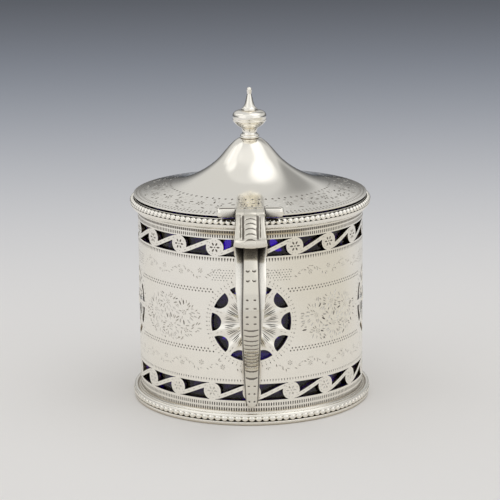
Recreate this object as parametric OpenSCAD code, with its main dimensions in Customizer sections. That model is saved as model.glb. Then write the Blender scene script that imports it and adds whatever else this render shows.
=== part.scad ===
// Drum mustard pot: a pierced silver drum on a beaded foot, with a hinged ogee lid, an urn finial,
// a scroll handle and a loose cobalt glass liner. Sizes are millimetres. Z is up along the drum's
// axis, the foot rests on Z = 0, and the handle with the lid's hinge stands on the -Y side.

/* [Piece shown] */
// Every piece of the pot, in the order they are put together
// The piece to draw, or all of them

/* [Drum] */
// Outside diameter of the drum wall
drum_d = 62; // [52:0.5:76]
// Thickness of the sheet silver of the wall
wall_t = 0.9; // [0.6:0.1:1.4]
// Height of the rim's top face above the table
rim_z = 56.3; // [52:0.1:70]
// Thickness of the round plate that closes the drum below
base_t = 0.8; // [0.6:0.1:1.6]

/* [Foot] */
// Thickness of the foot's plain edge under the beads
foot_edge_h = 0.95; // [0.7:0.05:1.5]
// How far the plain edge stands out from the wall
foot_edge_out = 1.75; // [1.2:0.05:2.5]
// How far the foot's ledge runs in under the base plate
foot_ledge = 2.5; // [1.5:0.1:4]
// Height of the foot moulding on the wall
foot_h = 3.4; // [2.8:0.1:5]
// Number of beads round the foot
foot_bead_n = 110; // [90:1:130]
// How far the beads' centres stand out from the wall
foot_bead_out = 1.15; // [1:0.05:1.6]

/* [Rim] */
// Height of the rim moulding on the wall
rim_h = 3.4; // [2.8:0.1:5]
// Thickness of the lip that caps the wall's top edge
rim_cap = 0.7; // [0.5:0.05:1.2]
// Fall of the rim's top face toward the inside
rim_fall = 0.4; // [0.1:0.05:0.5]
// Number of beads round the rim
rim_bead_n = 124; // [100:1:140]
// How far the rim beads' centres stand out from the wall
rim_bead_out = 1.3; // [1.15:0.05:1.8]
// Depth of the rim beads' centres below the rim's top face
rim_bead_drop = 0.9; // [0.8:0.05:1.2]
// How far neighbouring beads run into each other
bead_bite = 0.05; // [0.02:0.01:0.1]

/* [Pierced friezes] */
// Number of roundels in each frieze
roundel_n = 18; // [14:1:20]
// Height of the pierced band
frieze_h = 4.6; // [3.5:0.1:5.5]
// Height of the lower frieze's lower edge above the table
foot_frieze_z = 6.4; // [5:0.1:9]
// Depth of the upper frieze's upper edge below the rim
rim_frieze_drop = 5.8; // [5:0.1:9]
// How far round the upper frieze is turned against the lower one, in degrees
rim_frieze_turn = 2.2; // [-2:0.1:3]
// Width of the ribbon that runs from roundel to roundel
ribbon_w = 1.1; // [0.7:0.05:1.4]
// Half the ribbon's rise from one roundel to the next
ribbon_rise = 1.65; // [1.2:0.05:1.9]
// How far a roundel overlaps the plain bands above and below it
roundel_over = 0.1; // [0:0.05:0.3]

/* [Paterae] */
// Number of paterae round the drum, the first behind the handle
patera_n = 4; // [2:2:4]
// Radius of the circle that bounds a patera's piercings
patera_r = 10.65; // [7:0.05:12]
// How far the paterae sit below the middle between the friezes
patera_drop = 0.55; // [0:0.05:2]
// Number of piercings in a patera
petal_n = 10; // [6:2:12]
// Half the length of one piercing
petal_r = 2.5; // [1.5:0.05:2.6]
// Radius of the boss at a patera's middle
boss_r = 2.4; // [1.5:0.1:3]
// Height of the boss
boss_h = 0.2; // [0.1:0.05:0.6]
// Depth of the flutes that lead from the boss to the piercings
flute_depth = 0.4; // [0.1:0.05:0.45]

/* [Glass liner] */
// Room between the liner and the wall
liner_gap = 0.35; // [0.3:0.05:0.8]
// Thickness of the liner's wall
liner_t = 1.7; // [1.2:0.1:2.5]
// Thickness of the liner's bottom
liner_base_t = 2.4; // [1.8:0.1:4]
// How far the liner's edge stands above the rim
liner_rise = 0.15; // [0:0.05:0.2]
// Radius of the liner's bottom corner
liner_corner_r = 2.2; // [1:0.1:4]

/* [Lid] */
// How far the lid's edge overhangs the wall
lid_over = 1.0; // [0.6:0.05:1.4]
// Thickness of the lid's sheet silver
lid_t = 0.75; // [0.6:0.05:1.2]
// Depth of the lid's edge
lid_edge = 0.65; // [0.5:0.05:1]
// Room between the closed lid and the rim
lid_gap = 0.3; // [0.2:0.05:0.6]
// Rise of the engraved flange, from the lid's edge to the foot of the dome
flange_rise = 2.35; // [1.5:0.05:4]
// Width of the engraved flange
flange_w = 11; // [8:0.1:13]
// Height of the dome's flat top above the lid's edge
dome_rise = 14.8; // [10:0.1:20]
// Radius of the dome where its curve turns from hollow to round
dome_turn_r = 8; // [6:0.1:10]
// Height of that turn above the lid's edge
dome_turn_rise = 9.85; // [6:0.1:12]
// Radius of the flat seat on the dome's top
dome_seat_r = 3; // [2.8:0.1:4]

/* [Finial] */
// Radius of the collar on the dome
collar_r = 2.65; // [2.3:0.05:3]
// Height of the collar
collar_h = 1.15; // [0.8:0.05:1.6]
// Radius of the waist under the knop
waist_r = 2.05; // [1.6:0.05:2.2]
// Height of the waist, up to the knop
waist_h = 1.75; // [1.2:0.05:2.5]
// Largest radius of the knop, at its sharp ridge
knop_r = 4.65; // [3.5:0.05:6]
// Height of the bowl under the ridge
bowl_h = 2.15; // [1.5:0.05:3]
// Height of the cushion over the ridge
cushion_h = 2.75; // [2:0.05:4]
// Radius of the disc at the spire's foot
disc_r = 2.25; // [1.6:0.05:3]
// Height of the spire over the knop
spire_h = 6.3; // [4:0.1:9]
// Radius of the spire's round tip
tip_r = 0.72; // [0.5:0.02:1]
// Radius of the stem that runs down through collar and dome
stem_r = 0.95; // [0.7:0.05:1.3]
// Height of the nut inside the dome
nut_h = 1.3; // [0.8:0.1:2]
// Radius of the nut
nut_r = 2; // [1.6:0.1:2.6]

/* [Hinge] */
// How far the hinge's axis stands out beyond the lid's edge
hinge_out = 2.2; // [2:0.05:3.5]
// Height of the hinge's axis above the rim
hinge_rise = 2.4; // [2:0.05:3.5]
// Radius of the hinge's barrel
knuckle_r = 1.4; // [1.2:0.05:1.8]
// Length of the middle knuckle, which grows from the handle
knuckle_l = 7.6; // [5:0.1:9]
// Length of each of the lid's knuckles
lug_l = 4.75; // [3:0.05:6]
// Length of the leaf that runs from a knuckle in over the flange
lug_reach = 3.4; // [2.5:0.1:4.5]
// Thickness of the leaf
lug_t = 0.85; // [0.6:0.05:1.1]
// Radius of the pin
pin_r = 0.6; // [0.4:0.05:0.8]
// Running clearance of the pin in the middle knuckle
pin_play = 0.04; // [0.02:0.01:0.08]
// Clearance of the pin, the stem and the nut where they are fixed
fixed_play = 0.01; // [0.01:0.01:0.03]
// Room between the ends of the knuckles
knuckle_gap = 0.15; // [0.1:0.05:0.3]

/* [Handle] */
// How far the scroll's lip stands out from the wall
lip_out = 15; // [12:0.1:18]
// Depth of the lip's upper edge below the rim
lip_drop = 3.4; // [2:0.1:5]
// Thickness of the lip
lip_t = 1.4; // [1:0.1:2]
// Width of the scroll at its lip
lip_w = 8.8; // [7.6:0.1:10]
// Width of the scroll's middle rib
scroll_rib_w = 3.2; // [2:0.1:4]
// Width of the flute on each side of that rib
scroll_flute_w = 1.1; // [0.6:0.05:1.4]
// Depth of those flutes
scroll_flute_d = 0.45; // [0.2:0.05:0.7]
// Height of the scroll's root on the wall
root_h = 6.8; // [4:0.1:8]
// How far the strap bows out from the wall
bow_out = 22; // [18:0.1:26]
// Depth of the bow's widest point below the rim
bow_drop = 20; // [16:0.1:24]
// Where the strap leaves the scroll's lip, measured in from the lip
strap_set = 3.4; // [2.5:0.1:5]
// Thickness of the strap's side bands
strap_t = 1.5; // [1:0.05:2]
// How far the middle rib stands above the side bands
rib_h = 0.7; // [0.4:0.05:1]
// Width of the strap with its side bands
band_w = 8; // [6:0.1:9]
// Depth below the rim where the side bands begin to narrow
band_drop = 13.2; // [9:0.1:16]
// Width of the middle rib at the bow
rib_w = 4.7; // [3.5:0.1:5.5]
// Width of the rib where it leaves the scroll
rib_top_w = 3.8; // [3:0.1:5]
// Width of the tail above its round end
tail_w = 3.3; // [2.5:0.1:4]
// Height of the tail's end above the table
tail_z = 5; // [4.2:0.1:8]
// How far the tail's face stands out from the wall
tail_out = 1.45; // [1:0.05:2]

/* [Hidden] */
// Silver and glass as seen
silver = [0.86, 0.85, 0.82];
cobalt = [0.06, 0.05, 0.42];
// Solder line between curved faces of one body
solder = 0.02;
// Smoothness of circles and of drawn curves
$fn = 72;
curve_n = 14;

drum_r = drum_d / 2;
wall_in_r = drum_r - wall_t;
wall_z0 = foot_edge_h;
wall_z1 = rim_z - rim_cap;
base_z1 = foot_edge_h + base_t;

foot_bead_cr = drum_r + foot_bead_out;
foot_bead_r = PI * foot_bead_cr / foot_bead_n + bead_bite / 2;
foot_bead_z = foot_edge_h + foot_bead_r;
rim_bead_cr = drum_r + rim_bead_out;
rim_bead_r = PI * rim_bead_cr / rim_bead_n + bead_bite / 2;
rim_bead_z = rim_z - rim_bead_drop;

rim_frieze_z = rim_z - rim_frieze_drop - frieze_h;
cell_a = 360 / roundel_n;
// Where the sheet's soldered seam lies, in degrees round from +X
seam_a = 33;
cell_w = 2 * drum_r * sin(cell_a / 2);
roundel_r = frieze_h / 2 + roundel_over;
patera_z = (foot_frieze_z + frieze_h + rim_frieze_z) / 2 - patera_drop;

lid_r = drum_r + lid_over;
lid_z = rim_z + lid_gap;
lid_edge_z = lid_z + lid_edge;
seat_z = lid_edge_z + dome_rise;
dome_foot_r = lid_r - flange_w;
dome_foot_z = lid_edge_z + flange_rise;

hinge_r = lid_r + hinge_out;
hinge_z = rim_z + hinge_rise;
lug_x = knuckle_l / 2 + knuckle_gap;
bar_l = 2 * (lug_x + lug_l);

lip_r = drum_r + lip_out;
lip_z = rim_z - lip_drop;
lip_low = lip_z - lip_t;
root_z1 = rim_z - rim_h - lid_gap;
root_z0 = root_z1 - root_h;
stand_r = rim_bead_cr + rim_bead_r + 1.5 * lid_gap;
bow_r = drum_r + bow_out;
bow_z = rim_z - bow_drop;
band_z = rim_z - band_drop;
tail_r = drum_r + tail_out;
strap_r = lip_r - strap_set;
// The strap runs inward from the bow to the tail through this bend
bend_r = drum_r + 0.41 * bow_out;
bend_z = tail_z + 0.51 * (bow_z - tail_z);
tail_top = tail_z + 0.23 * (bow_z - tail_z);

// A cubic curve through p and s with handles q and r, in n steps
function curve(p, q, r, s, n) = [for (i = [0 : n]) let (t = i / n, u = 1 - t)
  u * u * u * p + 3 * u * u * t * q + 3 * u * t * t * r + t * t * t * s];
// An arc about c from angle a to angle b
function arc(c, r, a, b, n) = [for (i = [0 : n]) let (w = a + (b - a) * i / n)
  c + r * [cos(w), sin(w)]];
// The same line moved d to its left
function beside(p, d) = [for (i = [0 : len(p) - 1])
  let (a = p[max(i - 1, 0)], b = p[min(i + 1, len(p) - 1)], v = (b - a) / norm(b - a))
  p[i] + d * [-v[1], v[0]]];
// Every second patera is turned by half a petal
function patera_turn(k) = k % 2 * 180 / petal_n;
function turned(p) = [for (i = [len(p) - 1 : -1 : 0]) p[i]];
function past_first(p) = [for (i = [1 : len(p) - 1]) p[i]];

// The lid's upper face from the flat seat down over the dome and out along the flange
lid_turn = [dome_turn_r, lid_edge_z + dome_turn_rise];
lid_foot = [dome_foot_r, dome_foot_z];
lid_rim = [lid_r, lid_edge_z];
turn_slope = 1.15;
foot_slope = 0.25;
edge_slope = 0.19;
lid_line = concat(
  curve([dome_seat_r, seat_z], [dome_seat_r + 1.6, seat_z - 0.65],
        lid_turn + [-1.4, 1.4 * turn_slope], lid_turn, curve_n),
  past_first(curve(lid_turn, lid_turn + [2.6, -2.6 * turn_slope],
        lid_foot + [-5.5, 5.5 * foot_slope], lid_foot, curve_n)),
  past_first(curve(lid_foot, lid_foot + [flange_w / 3, -flange_w / 3 * foot_slope],
        lid_rim + [-flange_w / 3, flange_w / 3 * edge_slope], lid_rim, curve_n)));

// The scroll's upper face from the middle knuckle out and down to the lip
scroll_top = hinge_z + knuckle_r - 0.12;
scroll_line = curve([hinge_r, scroll_top], [hinge_r + 5, scroll_top - 0.2],
                    [lip_r - 2.6, lip_z + 3.2], [lip_r, lip_z], curve_n);

// The strap's rib face from the scroll down round the bow to the tail
strap_line = concat(
  curve([strap_r, lip_low], [strap_r + 2, lip_low - 4],
        [bow_r, bow_z + 0.42 * (lip_low - bow_z)], [bow_r, bow_z], curve_n),
  past_first(curve([bow_r, bow_z], [bow_r, bow_z - 4.8],
        [bend_r + 5.5, bend_z + 3.9], [bend_r, bend_z], curve_n)),
  past_first(curve([bend_r, bend_z], [bend_r - 3.7, bend_z - 2.65],
        [tail_r, tail_top + 3.5], [tail_r, tail_top], curve_n)),
  [[tail_r, tail_z - 1]]);

// A side view, drawn as distance from the axis and height, made w thick across the handle
module side(w) {
  rotate([0, 0, -90])
    rotate([90, 0, 0])
      linear_extrude(height = w, center = true)
        children();
}

// A front view, drawn as width and height, made deep enough to reach the whole handle
module front() {
  rotate([90, 0, 0])
    linear_extrude(height = bow_r + 10)
      children();
}

// A drawing in the wall's plane, pushed through the wall on the handle's side at height z
module through_wall(z) {
  translate([0, -drum_r + 3 * wall_t, z])
    rotate([90, 0, 0])
      linear_extrude(height = 6 * wall_t)
        children();
}

// A string of beads about the drum
module bead_string(n, cr, r, z) {
  for (i = [0 : n - 1])
    rotate([0, 0, (i + 0.5) * 360 / n])
      translate([cr, 0, z])
        sphere(r = r, $fn = 24);
}

// The seat that a string of beads leaves in its moulding
module bead_seat(cr, r, z) {
  translate([cr, z])
    circle(r = r + solder);
}

module foot_moulding() {
  top = [drum_r + 0.62, foot_h - 0.4];
  color(silver)
    rotate_extrude()
      difference() {
        polygon(concat(
          [[wall_in_r - foot_ledge, 0],
           [drum_r + foot_edge_out - 0.15, 0],
           [drum_r + foot_edge_out, 0.2],
           [drum_r + foot_edge_out, foot_edge_h - 0.1],
           [drum_r + foot_edge_out - 0.1, foot_edge_h],
           [foot_bead_cr, foot_edge_h + 0.1],
           [drum_r + 0.55, foot_bead_z]],
          curve([drum_r + 0.55, foot_h - 0.75], top, top, [drum_r + 0.3, foot_h - 0.05], 6),
          [[drum_r + solder, foot_h],
           [drum_r + solder, foot_edge_h],
           [wall_in_r - foot_ledge, foot_edge_h]]));
        bead_seat(foot_bead_cr, foot_bead_r, foot_bead_z);
      }
}

module foot_beads() {
  color(silver)
    bead_string(foot_bead_n, foot_bead_cr, foot_bead_r, foot_bead_z);
}

module base_disc() {
  color(silver)
    translate([0, 0, foot_edge_h])
      cylinder(r = wall_in_r - solder, h = base_t);
}

// The two piercings between one roundel and the next: a ribbon rises from the foot of the left
// roundel to the head of the right one and leaves a tapering hole above it and one below it
module frieze_cell() {
  half = cell_w / 2;
  end = [half * 0.8, ribbon_rise];
  bend = [half * 0.45, ribbon_rise * 0.8];
  mid = curve(-end, -bend, bend, end, curve_n);
  difference() {
    square([cell_w, frieze_h], center = true);
    translate([-half, 0])
      circle(r = roundel_r);
    translate([half, 0])
      circle(r = roundel_r);
    polygon(concat(beside(mid, ribbon_w / 2), turned(beside(mid, -ribbon_w / 2))));
  }
}

module frieze(z, turn) {
  for (i = [0 : roundel_n - 1])
    rotate([0, 0, (i + 0.5) * cell_a + turn])
      through_wall(z + frieze_h / 2)
        frieze_cell();
}

// The ring of round-backed piercings of one patera
module patera_piercing() {
  intersection() {
    circle(r = patera_r);
    union() {
      for (i = [0 : petal_n - 1])
        rotate(i * 360 / petal_n)
          translate([patera_r - 0.1, 0])
            circle(r = petal_r);
    }
  }
}

// One hollow flute between boss and piercing: a cone laid on the wall along the direction w
module flute(w) {
  mid = (boss_r + patera_r - petal_r) / 2;
  reach = patera_r - petal_r - boss_r;
  wide = petal_r * 0.8;
  narrow = petal_r * 0.35;
  over = mid * cos(w);
  up = mid * sin(w);
  bulge = (wide * wide + flute_depth * flute_depth) / (2 * flute_depth);
  point = (narrow * narrow + flute_depth * flute_depth) / (2 * flute_depth);
  rotate([0, 0, over / drum_r * 180 / PI])
    translate([0, -drum_r + flute_depth, patera_z + up])
      rotate([90, 0, 0])
        rotate([0, 0, w])
          translate([-reach / 2, 0, 0])
            rotate([0, 90 - atan((bulge - point) / reach), 0])
              translate([-point, 0, 0])
                cylinder(r1 = point, r2 = bulge, h = reach);
}

module patera_boss() {
  ball_r = (boss_r * boss_r + boss_h * boss_h) / (2 * boss_h);
  intersection() {
    translate([0, -drum_r + ball_r - boss_h, patera_z])
      sphere(r = ball_r);
    translate([0, -drum_r + 0.65 * wall_t, patera_z])
      rotate([90, 0, 0])
        cylinder(r = boss_r, h = wall_t + boss_h);
  }
}

// The drum's sheet with its friezes and paterae cut through; its seam lies clear of the paterae
module drum_pierced() {
  difference() {
    rotate([0, 0, seam_a])
      translate([0, 0, wall_z0])
        cylinder(r = drum_r, h = wall_z1 - wall_z0);
    rotate([0, 0, seam_a])
      translate([0, 0, wall_z0 - 1])
        cylinder(r = wall_in_r, h = wall_z1 - wall_z0 + 2);
    frieze(foot_frieze_z, 0);
    frieze(rim_frieze_z, rim_frieze_turn);
    for (k = [0 : patera_n - 1])
      rotate([0, 0, k * 360 / patera_n])
        through_wall(patera_z)
          rotate(patera_turn(k))
            patera_piercing();
  }
}

module drum_wall() {
  color(silver)
    union() {
      difference() {
        drum_pierced();
        for (k = [0 : patera_n - 1])
          rotate([0, 0, k * 360 / patera_n])
            for (i = [0 : petal_n - 1])
              flute(i * 360 / petal_n + patera_turn(k));
      }
      for (k = [0 : patera_n - 1])
        rotate([0, 0, k * 360 / patera_n])
          patera_boss();
    }
}

module rim_moulding() {
  low = rim_z - rim_h;
  color(silver)
    rotate_extrude()
      difference() {
        polygon(concat(
          [[drum_r + solder, low],
           [drum_r + 0.42, low],
           [drum_r + 0.5, low + 0.12]],
          curve([drum_r + 0.5, low + 0.35], [drum_r + 1.1, low + 0.5],
                [drum_r + 1.75, low + 1.0], [drum_r + 2.02, low + 1.9], 8),
          [[rim_bead_cr, rim_bead_z],
           [drum_r + 0.8, rim_z],
           [drum_r + 0.5, rim_z],
           [wall_in_r + 0.2, rim_z - rim_fall + 0.05],
           [wall_in_r, rim_z - rim_fall],
           [wall_in_r, wall_z1],
           [drum_r + solder, wall_z1]]));
        bead_seat(rim_bead_cr, rim_bead_r, rim_bead_z);
      }
}

module rim_beads() {
  color(silver)
    bead_string(rim_bead_n, rim_bead_cr, rim_bead_r, rim_bead_z);
}

module glass_liner() {
  out_r = wall_in_r - liner_gap;
  in_r = out_r - liner_t;
  top = rim_z + liner_rise;
  corner = liner_corner_r;
  hollow = max(corner - liner_t / 2, 0.5);
  floor_z = base_z1 + liner_base_t;
  color(cobalt)
    rotate_extrude()
      polygon(concat(
        [[0, base_z1]],
        arc([out_r - corner, base_z1 + corner], corner, -90, 0, 8),
        arc([out_r - liner_t / 2, top - liner_t / 2], liner_t / 2, 0, 180, 12),
        arc([in_r - hollow, floor_z + hollow], hollow, 0, -90, 8),
        [[0, floor_z]]));
}

// The scroll in side view: from the middle knuckle out and down to the lip, and back to its root
module scroll_side() {
  difference() {
    union() {
      translate([hinge_r, hinge_z])
        circle(r = knuckle_r);
      polygon(turned(concat(
        scroll_line,
        [[lip_r + 0.2, lip_z - lip_t * 0.5],
         [lip_r - 0.1, lip_low + 0.2],
         [lip_r - 0.6, lip_low]],
        curve([strap_r - strap_t - rib_h - 1, lip_low], [strap_r - 6, lip_low],
              [drum_r + 4, root_z0 + 2], [drum_r - wall_t, root_z0], curve_n),
        [[drum_r - wall_t, root_z1],
         [stand_r, root_z1],
         [stand_r, hinge_z - knuckle_r]])));
    }
    translate([hinge_r, hinge_z])
      circle(r = pin_r + pin_play);
  }
}

// The flutes that run down both sides of the scroll's middle rib
module scroll_flutes() {
  line = [for (i = [3 : curve_n - 2]) scroll_line[i]];
  for (s = [-1, 1])
    translate([s * (scroll_rib_w + scroll_flute_w) / 2, 0, 0])
      side(scroll_flute_w)
        polygon(concat(beside(line, 1), turned(beside(line, -scroll_flute_d))));
}

module handle_scroll() {
  color(silver)
    difference() {
      intersection() {
        side(lip_w + 1)
          scroll_side();
        front()
          polygon([[-knuckle_l / 2, hinge_z + knuckle_r + 1],
                   [-knuckle_l / 2, hinge_z - knuckle_r],
                   [-lip_w / 2, lip_low],
                   [-lip_w / 2, root_z0 - 1],
                   [lip_w / 2, root_z0 - 1],
                   [lip_w / 2, lip_low],
                   [knuckle_l / 2, hinge_z - knuckle_r],
                   [knuckle_l / 2, hinge_z + knuckle_r + 1]]);
      }
      cylinder(r = drum_r + solder, h = rim_z + 20);
      scroll_flutes();
    }
}

// A strap along the handle's line, from its face at depth a to depth b
module strap_band(a, b) {
  side(lip_w + 1)
    polygon(concat(beside(strap_line, -a), turned(beside(strap_line, -b))));
}

// Half widths of a front view by height, mirrored to both sides
module tapered(rows) {
  polygon(concat([for (p = rows) [-p[0], p[1]]], [for (p = turned(rows)) p]));
}

module handle_strap() {
  half = tail_w / 2;
  color(silver)
    difference() {
      union() {
        intersection() {
          strap_band(rib_h, rib_h + strap_t);
          front()
            tapered([[band_w / 2, lip_low],
                     [band_w / 2, band_z],
                     [rib_w / 2 + 0.15, bend_z + 6],
                     [rib_w / 2 - 0.2, tail_top],
                     [half, tail_z + half]]);
        }
        intersection() {
          strap_band(0, rib_h + strap_t);
          front()
            union() {
              tapered([[rib_top_w / 2, lip_low],
                       [rib_w / 2, bow_z],
                       [rib_w / 2, bend_z + 6],
                       [rib_w / 2 - 0.4, tail_top],
                       [half, tail_z + half]]);
              translate([0, tail_z + half])
                circle(r = half);
            }
        }
      }
      cylinder(r = drum_r + solder, h = rim_z);
    }
}

module lid_dome() {
  under = beside(lid_line, -lid_t);
  color(silver)
    rotate_extrude()
      polygon(concat(
        [[stem_r + fixed_play, seat_z]],
        lid_line,
        [[lid_r, lid_z + 0.1],
         [lid_r - 0.1, lid_z]],
        [for (p = turned(under)) if (p[0] < lid_r - 0.9) [p[0], p[1]]],
        [[stem_r + fixed_play, seat_z - lid_t]]));
}

// One of the lid's two knuckles with its leaf, lying to the right of the middle knuckle
module lid_lug() {
  z_in = lid_edge_z + edge_slope * lug_reach;
  difference() {
    union() {
      translate([lug_x, -hinge_r, hinge_z])
        rotate([0, 90, 0])
          rotate_extrude()
            polygon(concat(
              [[pin_r + fixed_play, 0],
               [knuckle_r, 0]],
              curve([knuckle_r, lug_l - 1.2], [knuckle_r, lug_l - 0.5],
                    [knuckle_r - 0.25, lug_l], [knuckle_r - 0.6, lug_l], 8),
              [[pin_r + fixed_play, lug_l]]));
      difference() {
        translate([lug_x + lug_l / 2 - 0.4, 0, 0])
          side(lug_l - 1.4)
            polygon([[hinge_r, hinge_z + knuckle_r * 0.6],
                     [lid_r - 0.8, lid_edge_z + lug_t + 0.45],
                     [lid_r - lug_reach, z_in + 0.2],
                     [lid_r - lug_reach, z_in - 0.6],
                     [lid_r, lid_edge_z - 0.2],
                     [hinge_r, hinge_z - knuckle_r * 0.8]]);
        translate([lug_x - 1, -hinge_r, hinge_z])
          rotate([0, 90, 0])
            cylinder(r = knuckle_r - 0.3, h = lug_l + 2);
      }
    }
    rotate_extrude()
      polygon(concat(beside(lid_line, solder), [[lid_r + solder, lid_z - 1], [dome_seat_r, lid_z - 1]]));
  }
}

module lid_lug_left() {
  color(silver)
    mirror([1, 0, 0])
      lid_lug();
}

module lid_lug_right() {
  color(silver)
    lid_lug();
}

module hinge_pin() {
  color(silver)
    translate([-bar_l / 2 + 0.1, -hinge_r, hinge_z])
      rotate([0, 90, 0])
        cylinder(r = pin_r, h = bar_l - 0.2);
}

module finial_collar() {
  edge = collar_h / 2;
  color(silver)
    rotate_extrude()
      polygon(concat(
        [[stem_r + fixed_play, seat_z]],
        [[collar_r - 0.35, seat_z]],
        arc([collar_r - edge, seat_z + edge], edge, -60, 60, 8),
        [[collar_r - 0.35, seat_z + collar_h],
         [stem_r + fixed_play, seat_z + collar_h]]));
}

module finial() {
  z0 = seat_z + collar_h;
  ridge = [knop_r, z0 + waist_h + bowl_h];
  top_z = ridge[1] + cushion_h;
  tip_z = top_z + spire_h - tip_r;
  color(silver)
    rotate_extrude()
      polygon(concat(
        [[0, seat_z - lid_t - nut_h - 0.3],
         [stem_r, seat_z - lid_t - nut_h - 0.3],
         [stem_r, z0]],
        curve([waist_r + 0.15, z0], [waist_r - 0.15, z0 + 0.5], [waist_r - 0.1, z0 + 1.1],
              [waist_r + 0.25, z0 + waist_h], 6),
        past_first(curve([waist_r + 0.25, z0 + waist_h], [waist_r + 1.1, z0 + waist_h + 0.5],
              ridge - [0.5, 1], ridge, curve_n)),
        [ridge + [0, 0.12], ridge + [-0.16, 0.25]],
        curve(ridge + [-0.16, 0.3], ridge + [0.35, 1.5], ridge + [-0.35, cushion_h],
              [disc_r, top_z - 0.1], curve_n),
        [[disc_r - 0.1, top_z],
         [disc_r, top_z + 0.12],
         [disc_r - 0.05, top_z + 0.4]],
        past_first(curve([disc_r - 0.05, top_z + 0.4], [disc_r - 1, top_z + 0.75],
              [tip_r + 0.35, tip_z - 3], [tip_r - 0.1, tip_z - 1.2], curve_n)),
        arc([0, tip_z], tip_r, -20, 90, 8)));
}

module finial_nut() {
  color(silver)
    translate([0, 0, seat_z - lid_t - nut_h])
      difference() {
        cylinder(r = nut_r, h = nut_h, $fn = 6);
        translate([0, 0, -1])
          cylinder(r = stem_r + fixed_play, h = nut_h + 2);
      }
}

foot_moulding();
foot_beads();
base_disc();
drum_wall();
rim_moulding();
rim_beads();
glass_liner();
handle_scroll();
handle_strap();
lid_dome();
lid_lug_left();
lid_lug_right();
hinge_pin();
finial_collar();
finial();
finial_nut();
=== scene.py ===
"""Dresses a drum mustard pot: a pierced and bright-cut silver drum on a beaded foot, an ogee lid
with an urn finial on a stand-away hinge, a cut scroll handle and a cobalt glass liner.

Lengths in the property groups are metres; the shaping functions below work in millimetres.
"""

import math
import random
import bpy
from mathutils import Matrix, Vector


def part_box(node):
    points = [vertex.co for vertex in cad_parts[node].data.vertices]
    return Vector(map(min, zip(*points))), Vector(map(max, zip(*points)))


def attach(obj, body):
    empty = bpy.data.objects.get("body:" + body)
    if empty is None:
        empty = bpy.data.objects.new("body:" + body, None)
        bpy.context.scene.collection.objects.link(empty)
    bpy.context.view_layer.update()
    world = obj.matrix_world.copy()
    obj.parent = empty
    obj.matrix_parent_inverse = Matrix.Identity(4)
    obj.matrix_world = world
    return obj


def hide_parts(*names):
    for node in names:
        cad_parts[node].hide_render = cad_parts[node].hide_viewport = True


bl_info = {
    "name": "Drum Mustard Pot",
    "version": (1, 0, 0),
    "blender": (4, 5, 0),
    "location": "3D View > Sidebar > Mustard Pot",
    "description": "Builds a pierced, engraved silver mustard pot round its packed solids",
    "category": "Object",
}

from types import SimpleNamespace

import bmesh
import bpy
import numpy as np
from bpy.props import FloatProperty, FloatVectorProperty, IntProperty, PointerProperty
from mathutils import Matrix, Vector
from mathutils.geometry import delaunay_2d_cdt

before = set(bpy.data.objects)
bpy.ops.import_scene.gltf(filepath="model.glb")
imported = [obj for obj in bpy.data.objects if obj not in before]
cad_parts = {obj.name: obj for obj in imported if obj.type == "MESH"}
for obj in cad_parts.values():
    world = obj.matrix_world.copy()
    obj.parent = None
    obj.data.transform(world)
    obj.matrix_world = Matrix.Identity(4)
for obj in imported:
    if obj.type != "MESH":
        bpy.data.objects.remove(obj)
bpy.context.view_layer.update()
LOW, HIGH = 0, 1
X, Y, Z = 0, 1, 2
MM = 0.001

# Metres: the gap of a soldered joint, the drum's sheet, the gap under the foot, and how near two
# points are welded
SOLDER = 0.00002
WALL_T = 0.0009
TABLE_GAP = 0.00002
WELD = 2e-8

# Steps round the drum and the lid
ROUND_STEPS = 252


def edge_of(node, corner, axis):
    """Where a packed solid ends, in metres."""
    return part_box(node)[corner][axis]


def low_of(node):
    """Height of a packed solid's lowest point, in metres."""
    return edge_of(node, LOW, Z)


def top_of(node):
    """Height of a packed solid's highest point, in metres."""
    return edge_of(node, HIGH, Z)


def half_height(node):
    """Half the height of a packed solid, in metres."""
    return (top_of(node) - low_of(node)) / 2


def reach_of(node):
    """How far a packed solid reaches to the right of the drum's axis, in metres."""
    return edge_of(node, HIGH, X)


def middle_of(node, axis):
    """The middle of a packed solid along one axis, in metres."""
    return (edge_of(node, LOW, axis) + edge_of(node, HIGH, axis)) / 2


# Properties


def length(label, text, default):
    """A length in metres."""
    return FloatProperty(
        name=label, description=text, default=default, unit="LENGTH", precision=5
    )


def number(label, text, default):
    """A count of like features."""
    return IntProperty(name=label, description=text, default=default, min=1)


def share(label, text, default):
    """A value between nothing and all."""
    return FloatProperty(
        name=label, description=text, default=default, min=0.0, max=1.0, subtype="FACTOR"
    )


def tint(label, text, default):
    """A linear colour."""
    return FloatVectorProperty(
        name=label, description=text, default=default, size=3, subtype="COLOR", min=0, max=1
    )


def turn(label, text, degrees):
    """An angle, given here in degrees."""
    return FloatProperty(
        name=label, description=text, default=math.radians(degrees), subtype="ANGLE"
    )


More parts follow.
